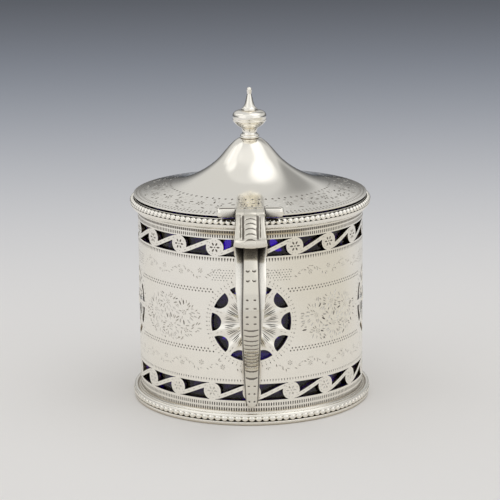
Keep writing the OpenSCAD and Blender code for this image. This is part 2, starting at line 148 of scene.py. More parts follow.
class DrumSizes(bpy.types.PropertyGroup):
    """The drum, its mouldings and its liner."""

    radius: length("Drum radius", "Outside of the wall", reach_of("base_disc") + SOLDER + WALL_T)
    wall: length("Wall", "Thickness of the sheet", WALL_T)
    bottom: length("Bottom", "Lower edge of the sheet", low_of("drum_wall"))
    top: length("Top", "Upper edge of the sheet", top_of("drum_wall"))
    rim: length("Rim", "Height of the rim's top face", top_of("rim_moulding"))
    rim_low: length("Rim moulding", "Lower edge of the rim moulding", low_of("rim_moulding"))
    rim_fall: length("Rim fall", "Fall of the rim's top face toward the inside", 0.0004)
    rim_bead_z: length("Rim beads", "Height of their centres", middle_of("rim_beads", Z))
    rim_bead_out: length("Rim bead reach", "Rim beads' centres beyond the wall", 0.0013)
    rim_bead_r: length("Rim bead radius", "Radius of one rim bead", half_height("rim_beads"))
    foot_top: length("Foot", "Height of the foot moulding", top_of("foot_moulding"))
    foot_edge: length("Foot edge", "Height of the plain lower edge", low_of("base_disc"))
    foot_reach: length("Foot reach", "Outside of the plain edge", reach_of("foot_moulding"))
    foot_ledge: length("Foot ledge", "How far the foot runs in under the wall", 0.0025)
    foot_bead_z: length("Foot beads", "Height of their centres", middle_of("foot_beads", Z))
    foot_bead_out: length("Foot bead reach", "Foot beads' centres beyond the wall", 0.00115)
    foot_bead_r: length("Foot bead radius", "Radius of one foot bead", half_height("foot_beads"))
    base_top: length("Base", "Upper face of the base disc", top_of("base_disc"))
    liner_r: length("Liner radius", "Outer radius of the glass", reach_of("glass_liner"))
    liner_top: length("Liner top", "Edge of the glass", top_of("glass_liner"))
    liner_wall: length("Liner wall", "Thickness of the glass", 0.0017)
    liner_floor: length("Liner floor", "Thickness of the liner's bottom", 0.0024)
    liner_corner: length("Liner corner", "Radius of the liner's lower corner", 0.0022)


class OrnamentSizes(bpy.types.PropertyGroup):
    """The piercing and the engraving."""

    rim_beads: number("Rim beads", "Beads round the rim", 124)
    foot_beads: number("Foot beads", "Beads round the foot", 110)
    roundels: number("Roundels", "Roundels in each frieze", 18)
    paterae: number("Paterae", "Paterae round the drum", 4)
    petals: number("Petals", "Piercings in one patera", 10)
    frieze: length("Frieze", "Height of a pierced band", 0.0046)
    foot_frieze: length("Lower frieze", "Lower edge of the lower frieze", 0.0064)
    rim_frieze: length("Upper frieze", "Lower edge of the upper frieze", 0.0459)
    ribbon: length("Ribbon", "Width of the frieze's ribbon", 0.0011)
    ribbon_rise: length("Ribbon rise", "Half the ribbon's rise between two roundels", 0.00165)
    rim_turn: turn("Frieze turn", "Turn of the upper frieze against the lower one", 2.2)
    roundel_r: length("Roundel radius", "Radius of a frieze's roundel", 0.0024)
    patera_r: length("Patera radius", "Circle round a patera's piercings", 0.01065)
    patera_drop: length("Patera drop", "Paterae below the middle between the friezes", 0.00055)
    petal_r: length("Petal radius", "Half the length of one piercing", 0.0025)
    boss_r: length("Boss radius", "Radius of a patera's middle", 0.0024)
    boss_h: length("Boss height", "Rise of a patera's middle", 0.0002)
    flute: length("Flute", "Depth of a patera's flutes", 0.0004)
    cut_depth: length("Cut depth", "Depth of the graver's cuts", 0.00016)
    upper_dots: length("Upper dots", "Height of the upper double row of dots", 0.0364)
    lower_dots: length("Lower dots", "Height of the lower double row of dots", 0.02005)
    seam: turn("Seam", "Where the sheet's seam lies, round from the handle", 155.5)
    seed: number("Seed", "Start of the engraver's small uneven strokes", 7)


class LidSizes(bpy.types.PropertyGroup):
    """The lid, its hinge and its finial."""

    radius: length("Lid radius", "Radius of the lid's edge", reach_of("lid_dome"))
    low: length("Lid low", "Lower face of the lid's edge", low_of("lid_dome"))
    edge: length("Lid edge", "Depth of the lid's edge", 0.00065)
    seat: length("Seat", "Flat top of the dome", top_of("lid_dome"))
    seat_r: length("Seat radius", "Radius of the flat top", 0.003)
    sheet: length("Sheet", "Thickness of the lid", 0.00075)
    flange: length("Flange", "Width of the engraved flange", 0.011)
    flange_rise: length("Flange rise", "Rise of the flange", 0.00235)
    turn_r: length("Turn radius", "Where the dome turns from hollow to round", 0.008)
    turn_rise: length("Turn rise", "Height of that turn over the edge", 0.00985)
    stem: length("Stem", "Radius of the finial's stem", 0.00095)
    collar_r: length("Collar radius", "Radius of the collar", reach_of("finial_collar"))
    collar_top: length("Collar top", "Top of the collar", top_of("finial_collar"))
    waist: length("Waist", "Radius of the finial's waist", 0.00205)
    waist_h: length("Waist height", "Height of the waist", 0.00175)
    knop: length("Knop", "Largest radius of the knop", reach_of("finial"))
    bowl: length("Bowl", "Height of the bowl under the ridge", 0.00215)
    cushion: length("Cushion", "Height of the cushion over the ridge", 0.00275)
    disc: length("Disc", "Radius of the disc under the spire", 0.00225)
    tip: length("Tip", "Radius of the spire's tip", 0.00072)
    top: length("Finial top", "Top of the spire", top_of("finial"))
    nut_low: length("Nut", "Lower face of the nut", low_of("finial_nut"))
    nut_top: length("Nut top", "Upper face of the nut", top_of("finial_nut"))
    nut_r: length("Nut radius", "Corner radius of the nut", reach_of("finial_nut"))
    hinge_r: length("Hinge", "Distance of the hinge's axis", -middle_of("hinge_pin", Y))
    hinge_z: length("Hinge height", "Height of the hinge's axis", middle_of("hinge_pin", Z))
    pin_r: length("Pin", "Radius of the pin", top_of("hinge_pin") - middle_of("hinge_pin", Z))
    pin_end: length("Pin end", "Half the pin's length", reach_of("hinge_pin"))
    knuckle_r: length("Knuckle", "Radius of the barrel", 0.0014)
    lug_in: length("Lug start", "Inner end of a lid knuckle", edge_of("lid_lug_right", LOW, X))
    lug_out: length("Lug end", "Outer end of a lid knuckle", reach_of("lid_lug_right"))
    lug_reach: length("Lug leaf", "Length of a leaf over the flange", 0.0034)
    lug_t: length("Leaf", "Thickness of a leaf", 0.00085)


class HandleSizes(bpy.types.PropertyGroup):
    """The scroll and the strap."""

    lip_r: length("Lip", "Reach of the scroll's lip", -edge_of("handle_scroll", LOW, Y) - 0.0002)
    lip_low: length("Lip low", "Lower face of the lip", top_of("handle_strap"))
    lip_t: length("Lip thickness", "Thickness of the lip", 0.0014)
    lip_w: length("Lip width", "Width at the lip", 2 * reach_of("handle_scroll"))
    knuckle_l: length("Knuckle length", "Length of the middle knuckle", 0.0076)
    root_low: length("Root", "Lower edge of the root on the wall", 0.0458)
    root_top: length("Root top", "Upper edge of the root on the wall", 0.0526)
    rib: length("Scroll rib", "Width of the scroll's rib", 0.0032)
    flute_w: length("Scroll flute", "Width of a flute", 0.0011)
    flute_d: length("Scroll flute depth", "Depth of a flute", 0.00045)
    bow_r: length("Bow", "Reach of the strap", -edge_of("handle_strap", LOW, Y))
    bow_z: length("Bow height", "Height of the strap's widest point", 0.0363)
    strap_set: length("Strap set", "How far the strap starts behind the lip", 0.0034)
    strap_t: length("Strap", "Thickness of the side bands", 0.0015)
    rib_h: length("Strap rib", "Rise of the rib over the bands", 0.0007)
    band_w: length("Bands", "Width over the side bands", 0.008)
    band_z: length("Band turn", "Where the side bands begin to narrow", 0.0431)
    rib_w: length("Rib width", "Width of the rib at the bow", 0.0047)
    rib_top_w: length("Rib top width", "Width of the rib at the lip", 0.0038)
    tail_w: length("Tail width", "Width of the tail", 0.0033)
    tail_z: length("Tail", "Lower end of the tail", low_of("handle_strap"))
    tail_out: length("Tail rise", "How far the tail stands out from the wall", 0.00145)
    notch: length("Notch", "Depth of the cuts across the rib", 0.00022)
    notches: number("Notches", "Whole cuts across the strap's rib", 12)


class FinishColours(bpy.types.PropertyGroup):
    """Silver, its cuts and the glass."""

    silver: tint("Silver", "Polished silver", (0.99, 0.965, 0.895))
    # Its dark colour also paints shade lines: along the strap's rib, in the scroll's flutes and
    # along the knuckles
    cut: tint("Cut", "Bottom of the graver's bold cuts", (0.17, 0.155, 0.135))
    fine: tint("Fine cut", "Bottom of the graver's fine strokes", (0.52, 0.5, 0.46))
    # Patina in hollows, and with it painted shade in corners, coves and under overhangs
    tarnish_and_shade: tint("Tarnish", "Silver in corners that no cloth reaches", (0.3, 0.225, 0.13))
    # Very dark inside of wall and lid: painted shade for the dark inside of the pot and the gap
    # under the lid's edge
    dull: tint("Dull", "Blackened silver inside wall and lid", (0.03, 0.028, 0.026))
    glass: tint("Glass", "Cobalt glass", (0.22, 0.07, 0.8))
    worn: tint("Worn", "Silver of the handle, rubbed by fingers", (0.8, 0.77, 0.69))
    # A golden colour laid by place under the rim, beside the handle
    golden: tint("Golden", "Tarnish under the rim, beside the handle", (0.58, 0.5, 0.37))
    polish: share("Polish", "Roughness of plain silver", 0.13)
    sheet: share("Sheet", "Roughness of the engraved sheet", 0.24)


class StageSettings(bpy.types.PropertyGroup):
    """Floor, light and camera."""

    distance: length("Distance", "Camera to the drum's axis, level", 0.596)
    height: length("Height", "Camera over the table", 0.18024)
    pitch: turn("Pitch", "Camera's downward tilt", 13.194)
    roll: turn("Roll", "Camera's lean", -0.494)
    focal: FloatProperty(
        name="Focal length", description="Focal length in image widths", default=4.41766
    )
    shift: FloatProperty(
        name="Shift", description="Sideways shift in image widths", default=-0.00116, precision=5
    )
    table: length("Table", "Size of the table", 12.0)
    fade: length("Fade", "How far back the table has half darkened", 0.45)
    near: tint("Near table", "Table in front", (0.877, 0.86, 0.841))
    far: tint("Far table", "Table far behind", (0.796, 0.856, 0.985))
    warm: tint("Warm table", "Table to the right, out of the picture", (0.775, 0.745, 0.68))
    cool: tint("Cool table", "Table to the left, out of the picture", (0.882, 0.872, 0.878))
    low: share("Low", "Light of the room low behind", 0.16)
    middle: share("Middle", "Light of the room above and behind", 0.64)
    front: share("Front", "Light of the room straight in front", 0.78)
    sides: share("Sides", "Light of the room in front, at both sides", 0.98)
    left: share("Left patch", "What the left window adds", 0.38)
    right: share("Right patch", "What the right window adds", 0.46)
    screen: share("Screen", "What the dark screen behind, right, takes away", 0.53)
    lamp: FloatProperty(name="Lamp", description="Power of the lamp overhead", default=1.2)


GROUPS = (
    ("drum", DrumSizes),
    ("ornament", OrnamentSizes),
    ("lid", LidSizes),
    ("handle", HandleSizes),
    ("finish", FinishColours),
    ("stage", StageSettings),
)


class MustardPotSettings(bpy.types.PropertyGroup):
    """All settings of the pot."""

    drum: PointerProperty(type=DrumSizes)
    ornament: PointerProperty(type=OrnamentSizes)
    lid: PointerProperty(type=LidSizes)
    handle: PointerProperty(type=HandleSizes)
    finish: PointerProperty(type=FinishColours)
    stage: PointerProperty(type=StageSettings)


def in_mm(group):
    """A group's lengths in millimetres; counts and angles as they are."""
    values = {}
    for prop in group.bl_rna.properties:
        if prop.identifier in ("rna_type", "name"):
            continue
        value = getattr(group, prop.identifier)
        values[prop.identifier] = value / MM if prop.unit == "LENGTH" else value
    return SimpleNamespace(**values)


# Drawing in two dimensions


def curve(p, q, r, s, steps):
    """A cubic curve from p to s with handles q and r."""
    t = np.linspace(0.0, 1.0, steps + 1)[:, None]
    u = 1.0 - t
    p, q, r, s = (np.asarray(c, float) for c in (p, q, r, s))
    return u**3 * p + 3 * u * u * t * q + 3 * u * t * t * r + t**3 * s


def arc(centre, radius, start, end, steps):
    """An arc about a centre; angles in degrees."""
    a = np.radians(np.linspace(start, end, steps + 1))
    return np.asarray(centre, float) + radius * np.stack([np.cos(a), np.sin(a)], 1)


def joined(*lines):
    """Lines one after another, without repeated points."""
    out = []
    for line in lines:
        for p in np.asarray(line, float).reshape(-1, 2):
            if not out or np.hypot(*(p - out[-1])) > 1e-6:
                out.append(p)
    return np.array(out)


def normals_of(line):
    """Unit normals to the left of a line."""
    d = np.gradient(line, axis=0)
    d /= np.linalg.norm(d, axis=1)[:, None]
    return np.stack([-d[:, 1], d[:, 0]], 1)


def beside(line, distance):
    """A line moved to its left."""
    return line + normals_of(line) * distance


def arc_length(line):
    """Distance along a line at each of its points."""
    steps = np.hypot(*np.diff(line, axis=0).T)
    return np.concatenate([[0.0], np.cumsum(steps)])


def resampled(line, step):
    """A line with points at even distances."""
    s = arc_length(line)
    at = np.linspace(0.0, s[-1], max(int(s[-1] / step), 2) + 1)
    return np.stack([np.interp(at, s, line[:, 0]), np.interp(at, s, line[:, 1])], 1)


def inside(points, outline):
    """Which points lie inside a closed outline."""
    x, y = points[:, 0], points[:, 1]
    hit = np.zeros(len(points), bool)
    for (x0, y0), (x1, y1) in zip(outline, np.roll(outline, -1, axis=0)):
        if y0 == y1:
            continue
        crosses = (y0 > y) != (y1 > y)
        hit ^= crosses & (x < (x1 - x0) * (y - y0) / (y1 - y0) + x0)
    return hit


def grid_of(u, v):
    """All the points of a grid, from its columns and rows."""
    return np.stack([c.ravel() for c in np.meshgrid(u, v)], 1)


def round_axis(r, phi, z):
    """Points at radii, turns and heights about the drum's axis."""
    return np.stack([r * np.sin(phi), -r * np.cos(phi), z], 1)


# Meshes


def make_mesh(name, verts_mm, faces, smooth_angle=35.0, kinds=None):
    """A welded mesh in metres, smooth but for its sharp edges; kinds number its materials."""
    mesh = bpy.data.meshes.new(name)
    mesh.from_pydata((np.asarray(verts_mm, float) * MM).tolist(), [], faces)
    if kinds is not None:
        mesh.polygons.foreach_set("material_index", kinds)
    form = bmesh.new()
    form.from_mesh(mesh)
    bmesh.ops.remove_doubles(form, verts=form.verts, dist=WELD)
    bmesh.ops.dissolve_degenerate(form, edges=form.edges, dist=WELD / 2)
    bmesh.ops.recalc_face_normals(form, faces=form.faces)
    form.to_mesh(mesh)
    form.free()
    mesh.shade_smooth()
    mesh.set_sharp_from_angle(angle=math.radians(smooth_angle))
    return mesh


def add_piece(name, mesh, materials, body, slot, *nodes):
    """Puts a mesh in the scene, on its body and in place of its solids."""
    piece = bpy.data.objects.new(name, mesh)
    bpy.context.scene.collection.objects.link(piece)
    for material in materials:
        mesh.materials.append(material)
    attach(piece, body)
    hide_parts(*nodes)


def ring_faces(rows, columns, wrap_rows=False):
    """Quads of a grid whose columns run round and close on themselves."""
    faces = []
    for i in range(rows if wrap_rows else rows - 1):
        a, b = i * columns, (i + 1) % rows * columns
        for j in range(columns):
            k = (j + 1) % columns
            faces.append((a + j, a + k, b + k, b + j))
    return faces


def lathe(profile, steps=ROUND_STEPS, closed=True, start=0.0):
    """Vertices and faces of a profile (radius, height) turned about the drum's axis."""
    profile = np.asarray(profile, float)
    a = start + np.arange(steps) * 2 * math.pi / steps
    r, z = profile[:, 0][:, None], profile[:, 1][:, None]
    verts = np.stack([r * np.sin(a), -r * np.cos(a), z + 0 * a], 2).reshape(-1, 3)
    return verts, ring_faces(len(profile), steps, closed)


def loft(sections):
    """Closed sections, each the same number of 3-D points, joined one to the next and capped."""
    sections = np.asarray(sections, float)
    rows, columns = sections.shape[:2]
    faces = ring_faces(rows, columns)
    faces.append(tuple(range(columns)))
    faces.append(tuple((rows - 1) * columns + j for j in range(columns)))
    return sections.reshape(-1, 3), faces


# Sheets that a graver has cut

# Kinds of faces; the inside kind is painted very dark, as shade for the inside of pot and lid
PLAIN, CUT, FINE, INSIDE_SHADE = 0, 1, 2, 3


class CutSheet:
    """A developed sheet (round the pot, across the band) with holes and V-shaped cuts.

    Its two ends meet at a seam, which may step aside from one place to the next at given heights.
    """

    ROOM = 0.1  # between two cuts, where a cut doesn't say otherwise
    CELL = 0.8  # of the grid that finds the cuts near a place
    END_ROOM = 0.3  # between the cuts and the sheet's lower and upper ends
    HOLE_STEP, HOLE_ROOM = 0.4, 0.08  # of the places that a hole claims
    SEAM_STEP, SEAM_ROOM = 0.3, 0.2  # of the places that the seam claims
    SHELF_STEP = 0.5  # between points where the seam steps aside
    CLEAR_STEP, CLEAR_ROOM = 0.5, 0.3  # of the places that a clear disc claims
    SPINE_STEP = 0.2  # between the places that a cut claims
    BARE = 0.2  # between plain points and the sheet's ends
    FLAT = 1e-7  # least area of a triangle, and the triangulation's tolerance

    def __init__(self, whole, low, high, seams, steps=()):
        self.whole, self.low, self.high = whole, low, high
        self.seams, self.steps = np.asarray(seams, float), np.asarray(steps, float)
        self.points, self.edges, self.depths, self.tones = [], [], [], []
        self.holes, self.cells, self.marks = [], {}, []

    def seam_at(self, v):
        """Where the seam lies at a height."""
        return self.seams[np.searchsorted(self.steps, v)]

    def wrapped(self, u, v):
        """The same place on the pot, between the two ends of the sheet."""
        seam = self.seam_at(v)
        return seam + (u - seam) % self.whole

    def places(self, pitch, offset=0.5):
        """Even places right round the sheet, about a pitch apart."""
        count = round(self.whole / pitch)
        return self.seams[0] + (np.arange(count) + offset) * self.whole / count

    def _add(self, u, v, depth=0.0, tone=PLAIN):
        self.points.append((float(u), float(v)))
        self.depths.append(depth)
        self.tones.append(tone)
        return len(self.points) - 1

    def _chain(self, line):
        ids = [self._add(u, v) for u, v in line]
        self.edges += list(zip(ids, ids[1:] + ids[:1]))

    def _claim(self, u, v, radius):
        cell = (int(u // self.CELL), int(v // self.CELL))
        self.cells.setdefault(cell, []).append((u, v, radius))

    def _free(self, samples, radius, room):
        for u, v in samples:
            if not self.low + self.END_ROOM < v < self.high - self.END_ROOM:
                return False
            i, j = int(u // self.CELL), int(v // self.CELL)
            for a in range(i - 1, i + 2):
                for b in range(j - 1, j + 2):
                    for x, y, r in self.cells.get((a, b), ()):
                        if math.hypot(x - u, y - v) < r + radius + room:
                            return False
        return True

    def hole(self, outline):
        """A piercing, which no cut may touch."""
        outline = np.asarray(outline, float)
        middle = outline.mean(0)
        outline = outline + (self.wrapped(*middle) - middle[0], 0)
        self.holes.append(outline)
        self._chain(outline)
        lo, hi = outline.min(0), outline.max(0)
        field = grid_of(*(np.arange(a, b, self.HOLE_STEP) for a, b in zip(lo, hi)))
        for a, b in np.concatenate([outline, field[inside(field, outline)]]):
            self._claim(a, b, self.HOLE_ROOM)

    def _pierced(self, points):
        hit = np.zeros(len(points), bool)
        for outline in self.holes:
            lo, hi = outline.min(0), outline.max(0)
            near = np.flatnonzero(((points > lo) & (points < hi)).all(1))
            hit[near[inside(points[near], outline)]] = True
        return hit

    def border(self, columns, rows):
        """The sheet's own edge, with matching points on both sides of its seam."""
        side = [(self.seam_at(v), v) for v in rows]
        for step, one, other in zip(self.steps, self.seams, self.seams[1:]):
            place = sum(v < step for _, v in side)
            shelf = np.linspace(one, other, int(abs(other - one) / self.SHELF_STEP) + 2)
            side[place:place] = [(u, step) for u in shelf]
        across = np.linspace(0, self.whole, columns + 1)
        self._chain(
            [(side[0][0] + a, self.low) for a in across]
            + [(u + self.whole, v) for u, v in side[1:-1]]
            + [(side[-1][0] + a, self.high) for a in across[::-1]]
            + side[-2:0:-1]
        )
        for u, v in resampled(np.array(side), self.SEAM_STEP):
            self._claim(u, v, self.SEAM_ROOM)
            self._claim(u + self.whole, v, self.SEAM_ROOM)

    def pit(self, u, v, corners, half, depth, tone=CUT):
        """A small sunk shape, its corners given from its deepest point, half as wide as half."""
        u = self.wrapped(u, v)
        if not self._free([(u, v)], half, self.ROOM):
            return
        self._claim(u, v, half)
        deep = self._add(u, v, -depth, tone)
        ring = [self._add(u + a, v + b) for a, b in corners]
        self.edges += list(zip(ring, ring[1:] + ring[:1])) + [(deep, k) for k in ring]
        self.marks.append((u, v, 1.0, 0.0, half, half))

    def dot(self, u, v, size, depth, tone=CUT):
        """A small square pit."""
        half = size / 2
        self.pit(u, v, ((half, 0), (0, half), (-half, 0), (0, -half)), half, depth, tone)

    def keep_clear(self, u, v, radius):
        """A round place where no more cuts may come."""
        steps = np.arange(-radius, radius, self.CLEAR_STEP)
        for a in steps:
            for b in steps:
                if math.hypot(a, b) < radius:
                    self._claim(self.wrapped(u + a, v + b), v + b, self.CLEAR_ROOM)

    def cut(self, u, v, angle, length, width, depth, room=None, tone=CUT, full=0.2):
        """One bright cut: a V groove, full wide to a share of its length on both sides of its
        middle and pointed from there, left out where it would run into another."""
        u, c, s = self.wrapped(u, v), math.cos(angle), math.sin(angle)
        spine = np.linspace(-0.5, 0.5, max(int(length / self.SPINE_STEP), 2) + 1) * length
        samples = [(u + c * t, v + s * t) for t in spine]
        if not self._free(samples, width / 2, self.ROOM if room is None else room):
            return
        for a, b in samples:
            self._claim(a, b, width / 2)

        def at(along, across, down):
            x, y = along * length, across * width
            kind = tone if down else PLAIN
            return self._add(u + c * x - s * y, v + s * x + c * y, -down * depth, kind)

        head, tail = at(-0.5, 0, 0), at(0.5, 0, 0)
        sides = [[at(-full, w, d), at(full, w, d)] for w, d in ((0.5, 0), (0, 1), (-0.5, 0))]
        for one in sides:
            self.edges += [(head, one[0]), (one[0], one[1]), (one[1], tail)]
        for k in (0, 1):
            self.edges += [(sides[0][k], sides[1][k]), (sides[1][k], sides[2][k])]
        self.marks.append((u, v, c, s, length / 2, width / 2))

    def scatter(self, points, room=0.08):
        """Plain points that carry the sheet's curves, where no cut or hole is."""
        u, v = np.asarray(points, float).T
        u = self.wrapped(u, v)
        past = u - self.seam_at(v)
        within = (past > self.BARE) & (past < self.whole - self.BARE)
        within &= (v > self.low + self.BARE) & (v < self.high - self.BARE)
        points = np.stack([u, v], 1)[within]
        keep = ~self._pierced(points)
        for u, v, c, s, half_l, half_w in self.marks:
            d = points - (u, v)
            near = np.flatnonzero(np.abs(d).sum(1) < 1.5 * (half_l + half_w + room))
            along = np.abs(d[near, 0] * c + d[near, 1] * s)
            across = np.abs(d[near, 1] * c - d[near, 0] * s)
            keep[near[(along < half_l + room) & (across < half_w + room)]] = False
        for u, v in points[keep]:
            self._add(u, v)

    def triangles(self):
        """Flat points, their depths, triangles and the kind of each triangle."""
        verts, _, faces, origins, _, _ = delaunay_2d_cdt(
            [Vector(p) for p in self.points], self.edges, [], 0, self.FLAT, True
        )
        flat = np.array([(p[0], p[1]) for p in verts])
        depth = np.array([min((self.depths[i] for i in o), default=0.0) for o in origins])
        tone = np.array([max((self.tones[i] for i in o), default=PLAIN) for o in origins])
        tris = np.array([f for f in faces if len(f) == 3])
        a, b, c = (flat[tris[:, k]] for k in range(3))
        (x1, y1), (x2, y2) = (b - a).T, (c - a).T
        area = x1 * y2 - x2 * y1
        middle = (a + b + c) / 3
        past = middle[:, 0] - self.seam_at(middle[:, 1])
        keep = (np.abs(area) > self.FLAT) & (past > 0) & (past < self.whole)
        tris = tris[keep & ~self._pierced(middle)]
        return flat, depth, tris, tone[tris].max(1)


class Gatherer:
    """Collects the faces of one mesh from several sources; welding joins them later."""

    def __init__(self):
        self.verts, self.faces, self.kinds, self.count = [], [], [], 0

    def add(self, verts, faces, kinds=PLAIN):
        """Takes faces in, all of one kind or each of its own."""
        verts = np.asarray(verts, float).reshape(-1, 3)
        self.verts.append(verts)
        self.faces += [tuple(int(i) + self.count for i in f) for f in faces]
        self.kinds += [kinds] * len(faces) if np.isscalar(kinds) else [int(k) for k in kinds]
        self.count += len(verts)

    def strip(self, one, other):
        """A closed band of quads between two lines of points."""
        n = len(one)
        faces = [(i, (i + 1) % n, n + (i + 1) % n, n + i) for i in range(n)]
        self.add(np.concatenate([one, other]), faces)

    def mesh(self, name, smooth_angle=35.0):
        """The mesh of all that was taken in."""
        return make_mesh(name, np.concatenate(self.verts), self.faces, smooth_angle, self.kinds)


def set_normals(mesh, normal_at, agree=0.8):
    """Gives plain faces the normals of the true surface and leaves cuts flat."""
    def read(items, name, width, kind):
        values = np.empty(len(items) * width, kind)
        items.foreach_get(name, values)
        return values.reshape(-1, width) if width > 1 else values

    wanted = normal_at(read(mesh.vertices, "co", 3, np.float32).astype(float) / MM)
    face = np.repeat(
        np.arange(len(mesh.polygons)), read(mesh.polygons, "loop_total", 1, np.int32)
    )
    flat = read(mesh.polygons, "normal", 3, np.float32)[face].astype(float)
    kind = read(mesh.polygons, "material_index", 1, np.int32)[face]
    result = read(mesh.corner_normals, "vector", 3, np.float32).astype(float)
    near = wanted[read(mesh.loops, "vertex_index", 1, np.int32)]
    graved = (kind == CUT) | (kind == FINE)
    use = ((flat * near).sum(1) > agree) & ~graved
    result[use] = near[use]
    result[graved] = flat[graved]
    mesh.normals_split_custom_set(result.tolist())


# Engraver's ornament, drawn on a sheet in millimetres


def at_turn(u, v, reach, a):
    """The place at a distance and a direction from another."""
    return u + reach * math.cos(a), v + reach * math.sin(a)


def flower(sheet, u, v, radius, petals, depth, start=0.0, tone=CUT):
    """A small rosette: a pit with cut petals round it."""
    heart, reach, size = radius * 0.34, radius * 0.64, radius * 0.66
    width = min(radius * 1.9 / petals, 0.45)
    sheet.dot(u, v, heart, depth, tone)
    for k in range(petals):
        a = start + k * 2 * math.pi / petals
        sheet.cut(*at_turn(u, v, reach, a), a, size, width, depth, -0.05, tone)


def dotted_row(sheet, v, pitch, size, depth, offset=0.0):
    """Pits in a row right round the sheet."""
    for u in sheet.places(pitch, 0.5 + offset):
        sheet.dot(u, v, size, depth)


def dash_row(sheet, v, pitch, rise, width, depth):
    """Upright strokes side by side, right round the sheet."""
    for u in sheet.places(pitch):
        sheet.cut(u, v, math.pi / 2, rise, width, depth, -0.1, CUT, 0.42)


def zigzag_row(sheet, v, pitch, rise, width, depth):
    """Pointed teeth that hang side by side and leave a zig-zag between them."""
    corners = ((width / 2, rise / 2), (-width / 2, rise / 2), (0.0, -rise / 2))
    for u in sheet.places(pitch):
        sheet.pit(u, v, corners, width / 2, depth)


# A spray's rosettes, as shares of its half width and half height
SPRAY_HEARTS = (
    (-0.55, 0.15), (0.5, 0.3), (0.05, -0.35), (-0.05, 0.62), (-0.5, -0.55), (0.55, -0.45)
)
# Rings of leaves round a rosette: distance, leaves, length and width of a leaf
SPRAY_RINGS = (
    (0.8, 8, 1.2, 0.34), (2.05, 12, 1.5, 0.4), (3.6, 16, 1.5, 0.4), (5.1, 18, 1.4, 0.36)
)
# Share of deep cuts in a spray, and how often a small leaf is tried between the rings
SPRAY_BOLD = 0.1
SPRAY_FILL = 900


def spray(sheet, u, v, half_w, half_h, depth, rng):
    """A bouquet: rosettes whose leaves radiate, with small leaves filling the oval between."""
    hearts = [(u + a * half_w, v + b * half_h) for a, b in SPRAY_HEARTS]

    def leaf(x, y, lean, size, width, room):
        if math.hypot((x - u) / half_w, (y - v) / half_h) < 1:
            tone = CUT if rng.random() < SPRAY_BOLD else FINE
            sheet.cut(x, y, lean, size, width, depth, room, tone)

    for x, y in hearts:
        flower(sheet, x, y, 0.8, 6, depth, rng.uniform(0, 1), FINE)
    for near, count, size, width in SPRAY_RINGS:
        for x, y in hearts:
            for k in range(count):
                a = 2 * math.pi * (k + near) / count + rng.uniform(-0.1, 0.1)
                far = near + size / 2
                lean = a + rng.uniform(-0.3, 0.3)
                leaf(*at_turn(x, y, far, a), lean, size, width, 0.0)
    for _ in range(SPRAY_FILL):
        a_u, a_v = u + rng.uniform(-1, 1) * half_w, v + rng.uniform(-1, 1) * half_h
        x, y = min(hearts, key=lambda h: math.hypot(a_u - h[0], a_v - h[1]))
        lean = math.atan2(a_v - y, a_u - x) + rng.uniform(-0.4, 0.4)
        leaf(a_u, a_v, lean, rng.uniform(0.8, 1.3), 0.26, 0.03)


# Leaves of a trail, in shares of half a wave from a flower, and how far they turn from the stem
LEAF_PLACES = (-0.36, -0.2, 0.2, 0.36)
LEAF_TURNS = (-0.85, 0.85)


def trail(sheet, v, rise, waves, size, depth, rng, bold):
    """A running stem that waves right round the sheet, leaves along it and flowers in its hollows;
    bold is the share of deep cuts."""
    wave = sheet.whole / waves

    def stem(u):
        a = 2 * math.pi * (u - sheet.seams[0]) / wave
        slope = rise * math.cos(a) * 2 * math.pi / wave
        return v + rise * math.sin(a), math.atan2(slope, 1.0)

    for k, u in enumerate(sheet.places(wave / 2)):
        side = 1 if k % 2 else -1
        tone = CUT if bold > 0.5 else FINE
        flower(sheet, u, v + side * rise * 0.35, 0.8 * size, 6, depth, rng.uniform(0, 1), tone)
        for part in LEAF_PLACES:
            along = u + part * wave / 2
            height, lean = stem(along)
            for turn_by in LEAF_TURNS:
                a = lean + turn_by + rng.uniform(-0.15, 0.15)
                x, y = at_turn(along, height, 0.62 * size, a)
                tone = CUT if rng.random() < bold else FINE
                sheet.cut(x, y, a, 0.9 * size, 0.3 * size, depth, -0.02, tone)
    for u in sheet.places(0.8 * size):
        height, lean = stem(u)
        sheet.cut(u, height, lean, 0.74 * size, 0.13 * size, depth, -0.06, FINE, 0.35)


# The drum


def ribbon_line(half_cell, rise):
    """Middle line of a frieze's ribbon across one cell."""
    end = np.array([half_cell * 0.8, rise])
    bend = np.array([half_cell * 0.45, rise * 0.8])
    return curve(-end, -bend, bend, end, 40)


def crossing(line, outside):
    """Where a line first crosses a border, or its end; outside is the signed distance to it."""
    changes = np.flatnonzero(np.sign(outside[1:]) != np.sign(outside[:-1]))
    if not len(changes):
        return len(line), line[-1]
    k = int(changes[0]) + 1
    part = outside[k - 1] / (outside[k - 1] - outside[k])
    return k, line[k - 1] + part * (line[k] - line[k - 1])


def frieze_holes(half_cell, half_h, line, ribbon, roundel):
    """Outlines of the two piercings of one frieze cell, about its middle."""
    edge = beside(line, ribbon / 2)
    first, leave = crossing(edge, np.hypot(edge[:, 0] + half_cell, edge[:, 1]) - roundel)
    rest = edge[first:]
    last, arrive = crossing(rest, np.hypot(rest[:, 0] - half_cell, rest[:, 1]) - roundel)
    head = math.degrees(math.asin(half_h / roundel))
    foot = math.degrees(math.atan2(leave[1], leave[0] + half_cell))
    side = math.degrees(math.atan2(arrive[1], arrive[0] - half_cell))
    back = arc((-half_cell, 0.0), roundel, head, foot, 14)
    front = arc((half_cell, 0.0), roundel, side, 180 - head, 6)
    top = np.stack([np.linspace(front[-1, 0], back[0, 0], 9), np.full(9, half_h)], 1)
    upper = joined(back, rest[:last], front, top[1:-1])
    return upper, -upper


